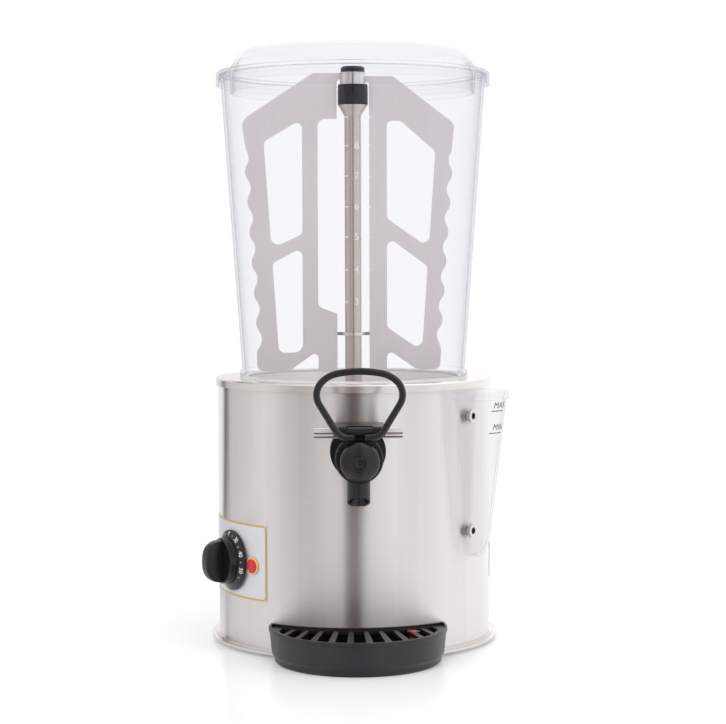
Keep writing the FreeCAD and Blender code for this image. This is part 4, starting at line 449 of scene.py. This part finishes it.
# Tap
# A black moulded lever tap: flange, barrel and spout in one, a screwed bonnet and a plunger with a cap.
# Its loop lever turns on a black pin, and a polished steel bar lies across it behind the lever.
# The return spring is a copy of the model's with its turns joined up, and it rides on the base.
dress(black_plastic, "tap_body", "tap_bonnet", "tap_plunger", "tap_cap", "tap_lever", "tap_lock_nut",
      "hinge_pin", "cooling_fan")
bar_steel, bar_shader, bar_place = finish("pressed_bar_steel", (0.7, 0.68, 0.67), 0.2, 0.5)
# The bar's colour is painted reflection laid in level bands by height: the bright bands are painted
# highlights and the dark brown ones painted reflections of the black tap, in place of a ridged profile.
bar_bottom, bar_height, bar_painted_highlight, bar_painted_dark_reflection = 0.196, 0.0086, (0.95, 0.93, 0.93), (0.2, 0.13, 0.12)
bar_rise = (bar_place.parts()[2] - bar_bottom) / bar_height
bar_painted_reflections = bar_rise.node("ValToRGB", {"stops": [
    (0.0, bar_painted_highlight), (0.05, bar_painted_highlight), (0.1, bar_painted_dark_reflection), (0.2, bar_painted_dark_reflection),
    (0.25, bar_painted_highlight), (0.4, bar_painted_highlight), (0.45, (0.14, 0.09, 0.08)), (0.55, (0.2, 0.15, 0.14)),
    (0.6, bar_painted_highlight), (0.88, bar_painted_highlight), (0.93, (0.35, 0.3, 0.29)), (1.0, (0.9, 0.87, 0.86))
]}, {"Fac": bar_rise})
feed(bar_shader, Base_Color=bar_painted_reflections, Roughness=0.16 + stretched(bar_place, (40, 900, 900), 3) * 0.12)
dress(bar_steel, "tap_cross_bar")
spring_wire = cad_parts["tap_spring"].data.copy()
wire_turns = bmesh.new()
wire_turns.from_mesh(spring_wire)
bmesh.ops.remove_doubles(wire_turns, verts=wire_turns.verts, dist=0.000001)
wire_turns.to_mesh(spring_wire)
wire_turns.free()
return_spring = settle("return_spring", spring_wire, bright_steel, "base")
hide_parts("tap_spring")
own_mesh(return_spring)


# Control label, lamp and thermostat knob
# A pale printed film with a thin gold line follows the wall. On it are a red pilot lamp in an amber rim
# and the black knob: a dial skirt with white figures, a raised disc and a fin to hold.
label_middle, label_radius, label_half_width = math.radians(-65.5), 0.125, 0.0567
label_bottom, label_height, label_corner = 0.0477, 0.067, 0.004
line_inset, line_half_width = 0.0009, 0.0008
label_film, label_shader, label_place = finish("printed_label", (0.6, 0.6, 0.63), 0.32)
across_x, across_y, rise = label_place.parts()
around = (label_place.maths("ARCTAN2", across_x, 0 - across_y) - label_middle) * label_radius
beyond_side = around.maths(
    "MAXIMUM", around.maths("ABSOLUTE", around) - (label_half_width - label_corner), 0)
middle_rise = rise - (label_bottom + label_height / 2)
beyond_top = rise.maths(
    "MAXIMUM", rise.maths("ABSOLUTE", middle_rise) - (label_height / 2 - label_corner), 0)
outline = rise.maths("SQRT", beyond_side * beyond_side + beyond_top * beyond_top) - label_corner
line_gap = rise.maths("ABSOLUTE", outline + line_inset)
gold_line = rise.maths("LESS_THAN", line_gap, line_half_width)
film_grain = stretched(label_place, (500, 500, 500), 2)
feed(label_shader, Base_Color=gold_line.blend((0.6, 0.6, 0.63, 1), (0.5, 0.34, 0.08, 1)),
     Roughness=0.28 + film_grain * 0.1)
dress(label_film, "control_label")
red_lens, lens_shader, lens_place = finish("red_lamp_lens", (0.62, 0.02, 0.03), 0.18)
lens_facets = lens_place.node("TexVoronoi", {}, {"Vector": lens_place, "Scale": 700.0}, "Distance")
feed(lens_shader, Base_Color=lens_facets.blend((0.72, 0.03, 0.045, 1), (0.45, 0.008, 0.015, 1)),
     Roughness=0.15 + lens_facets * 0.1)
dress(red_lens, "lamp_lens")
amber_rim, amber_shader, amber_place = finish("amber_lamp_rim", (0.85, 0.48, 0.12), 0.25)
amber_grain = stretched(amber_place, (300, 300, 300), 2)
feed(amber_shader, Base_Color=amber_grain.blend((0.8, 0.4, 0.08, 1), (0.9, 0.56, 0.2, 1)))
dress(amber_rim, "lamp_holder")
dress(black_plastic, "thermostat_knob")

knob_turn, knob_level, wall_radius = math.radians(-61.6), 0.0796, 0.1245
knob_out = Vector((math.sin(knob_turn), -math.cos(knob_turn), 0))
knob_across = Vector((math.cos(knob_turn), math.sin(knob_turn), 0))
label_and_gap, ink_gap, ink_depth = 0.0012, 0.0001, 0.0001
dial_back = wall_radius + label_and_gap
skirt_inner, skirt_outer, skirt_low, skirt_high = 0.0213, 0.027, 0.0015, 0.005
skirt_slope = math.atan2(skirt_high - skirt_low, skirt_outer - skirt_inner)


def on_dial(angle, reach):
    """The rule that lays a flat figure on the dial's sloping skirt, its foot towards the knob's axis."""
    turn = math.radians(angle)

    def spot(point):
        out_along = reach + point.y * math.cos(skirt_slope) + point.z * math.sin(skirt_slope)
        height = (skirt_high - (reach - skirt_inner) * math.tan(skirt_slope)
                  - point.y * math.sin(skirt_slope) + point.z * math.cos(skirt_slope))
        side = out_along * math.sin(turn) + point.x * math.cos(turn)
        rise = out_along * math.cos(turn) - point.x * math.sin(turn)
        return (Vector((0, 0, knob_level)) + knob_across * side + Vector((0, 0, 1)) * rise
                + knob_out * (dial_back + height + ink_gap))
    return spot


white_ink, ink_shader, ink_place = finish("white_ink", (0.82, 0.82, 0.82), 0.5)
ink_grain = stretched(ink_place, (800, 800, 800), 2)
feed(ink_shader, Roughness=0.45 + ink_grain * 0.15)
dial_figures = {0: "0", 35: "30", 70: "40", 105: "50", -105: "60", -70: "70", -35: "80"}
dial_pitch, dial_figure_height, figure_reach, dot_reach, dot_radius = 35, 0.0038, 0.0241, 0.0237, 0.00045
for angle, figure in dial_figures.items():
    lettering(f"dial_{figure}", figure, dial_figure_height, ink_depth, white_ink, "knob",
              on_dial(angle, figure_reach))
    dot_mesh = form(f"dial_dot_{angle}", bmesh.ops.create_circle,
                    cap_ends=True, segments=12, radius=dot_radius)
    settle(f"dial_dot_{angle}", dot_mesh, white_ink, "knob",
           on_dial(angle + dial_pitch / 2, dot_reach))


# Switch and cord gland
# A black rocker switch in the right-hand wall and a black gland low at the back for the supply cord.
dress(black_plastic, "switch_housing", "switch_rocker", "cord_gland", "gland_nut")


# Level cup
# A clear tapered cup on the right wall, joined to the bath by two short steel pipes, with clear spacers.
# Black figures on its outer face mark the highest and lowest water level.
cup_plastic = clear_finish("clear_cup_plastic", (0.36, 0.33, 0.35), 0.02, 0.04, 0.9)
dress(cup_plastic, "level_cup", "cup_spacers")
dress(bright_steel, "cup_pipes")
cup_turn, cup_low, cup_high, cup_back = math.radians(52.5), 0.099, 0.2316, 0.1265
cup_out = Vector((math.sin(cup_turn), -math.cos(cup_turn), 0))
cup_across = Vector((math.cos(cup_turn), math.sin(cup_turn), 0))
cup_foot_width, cup_top_width, cup_foot_depth, cup_top_depth = 0.023, 0.054, 0.019, 0.034
cup_face_share, cup_ink_gap = 0.55, 0.0003


def on_cup(level, aside):
    """The rule that bends a flat figure round the cup's outer face at this level."""
    def spot(point):
        height = level + point.y
        share = (height - cup_low) / (cup_high - cup_low)
        half = (cup_foot_width + (cup_top_width - cup_foot_width) * share) / 2
        depth = cup_foot_depth + (cup_top_depth - cup_foot_depth) * share
        sagitta = depth * cup_face_share
        bend = (half * half + sagitta * sagitta) / (2 * sagitta)
        turn = (point.x + aside) / bend
        reach = cup_back + depth - bend + (bend + point.z + cup_ink_gap) * math.cos(turn)
        return Vector((0, 0, height)) + cup_out * reach + cup_across * (bend * math.sin(turn))
    return spot


black_ink, black_ink_shader, black_ink_place = finish("black_ink", (0.06, 0.06, 0.065), 0.5)
black_ink_grain = stretched(black_ink_place, (800, 800, 800), 2)
feed(black_ink_shader, Roughness=0.45 + black_ink_grain * 0.15)
word_height, word_slant, word_aside = 0.0054, 0.25, -0.002
rule_width, rule_height, rule_drop, rule_aside = 0.0155, 0.0008, 0.0048, -0.004
for word, level in (("MAX", 0.2198), ("MIN", 0.2004)):
    lettering(f"cup_{word}", word, word_height, ink_depth, black_ink, "base",
              on_cup(level, word_aside), word_slant)
    rule_mesh = form(f"cup_line_{word}", bmesh.ops.create_grid, x_segments=8, y_segments=1, size=0.5,
                     matrix=Matrix.Diagonal((rule_width, rule_height, 1, 1)))
    settle(f"cup_line_{word}", rule_mesh, black_ink, "base",
           on_cup(level - rule_drop, rule_aside))


# Drip tray, grille and float
# A black half-round tray whose back follows the body, a slotted grille that lifts out, and a red float.
tray_plastic, tray_shader, tray_place = finish("black_tray_plastic", (0.01, 0.01, 0.011), 0.36)
tray_grain = stretched(tray_place, (700, 700, 700), 4)
feed(tray_shader, Roughness=0.3 + tray_grain * 0.12,
     Base_Color=tray_grain.blend((0.0065, 0.0055, 0.007, 1), (0.014, 0.0125, 0.0155, 1)))
bumps(tray_shader, tray_grain, 0.00005)
dress(tray_plastic, "drip_tray", "drip_grille")
red_plastic, red_shader, red_place = finish("red_float_plastic", (0.55, 0.02, 0.035), 0.35)
red_grain = stretched(red_place, (400, 400, 400), 2)
feed(red_shader, Base_Color=red_grain.blend((0.48, 0.015, 0.03, 1), (0.64, 0.03, 0.05, 1)))
dress(red_plastic, "level_float")
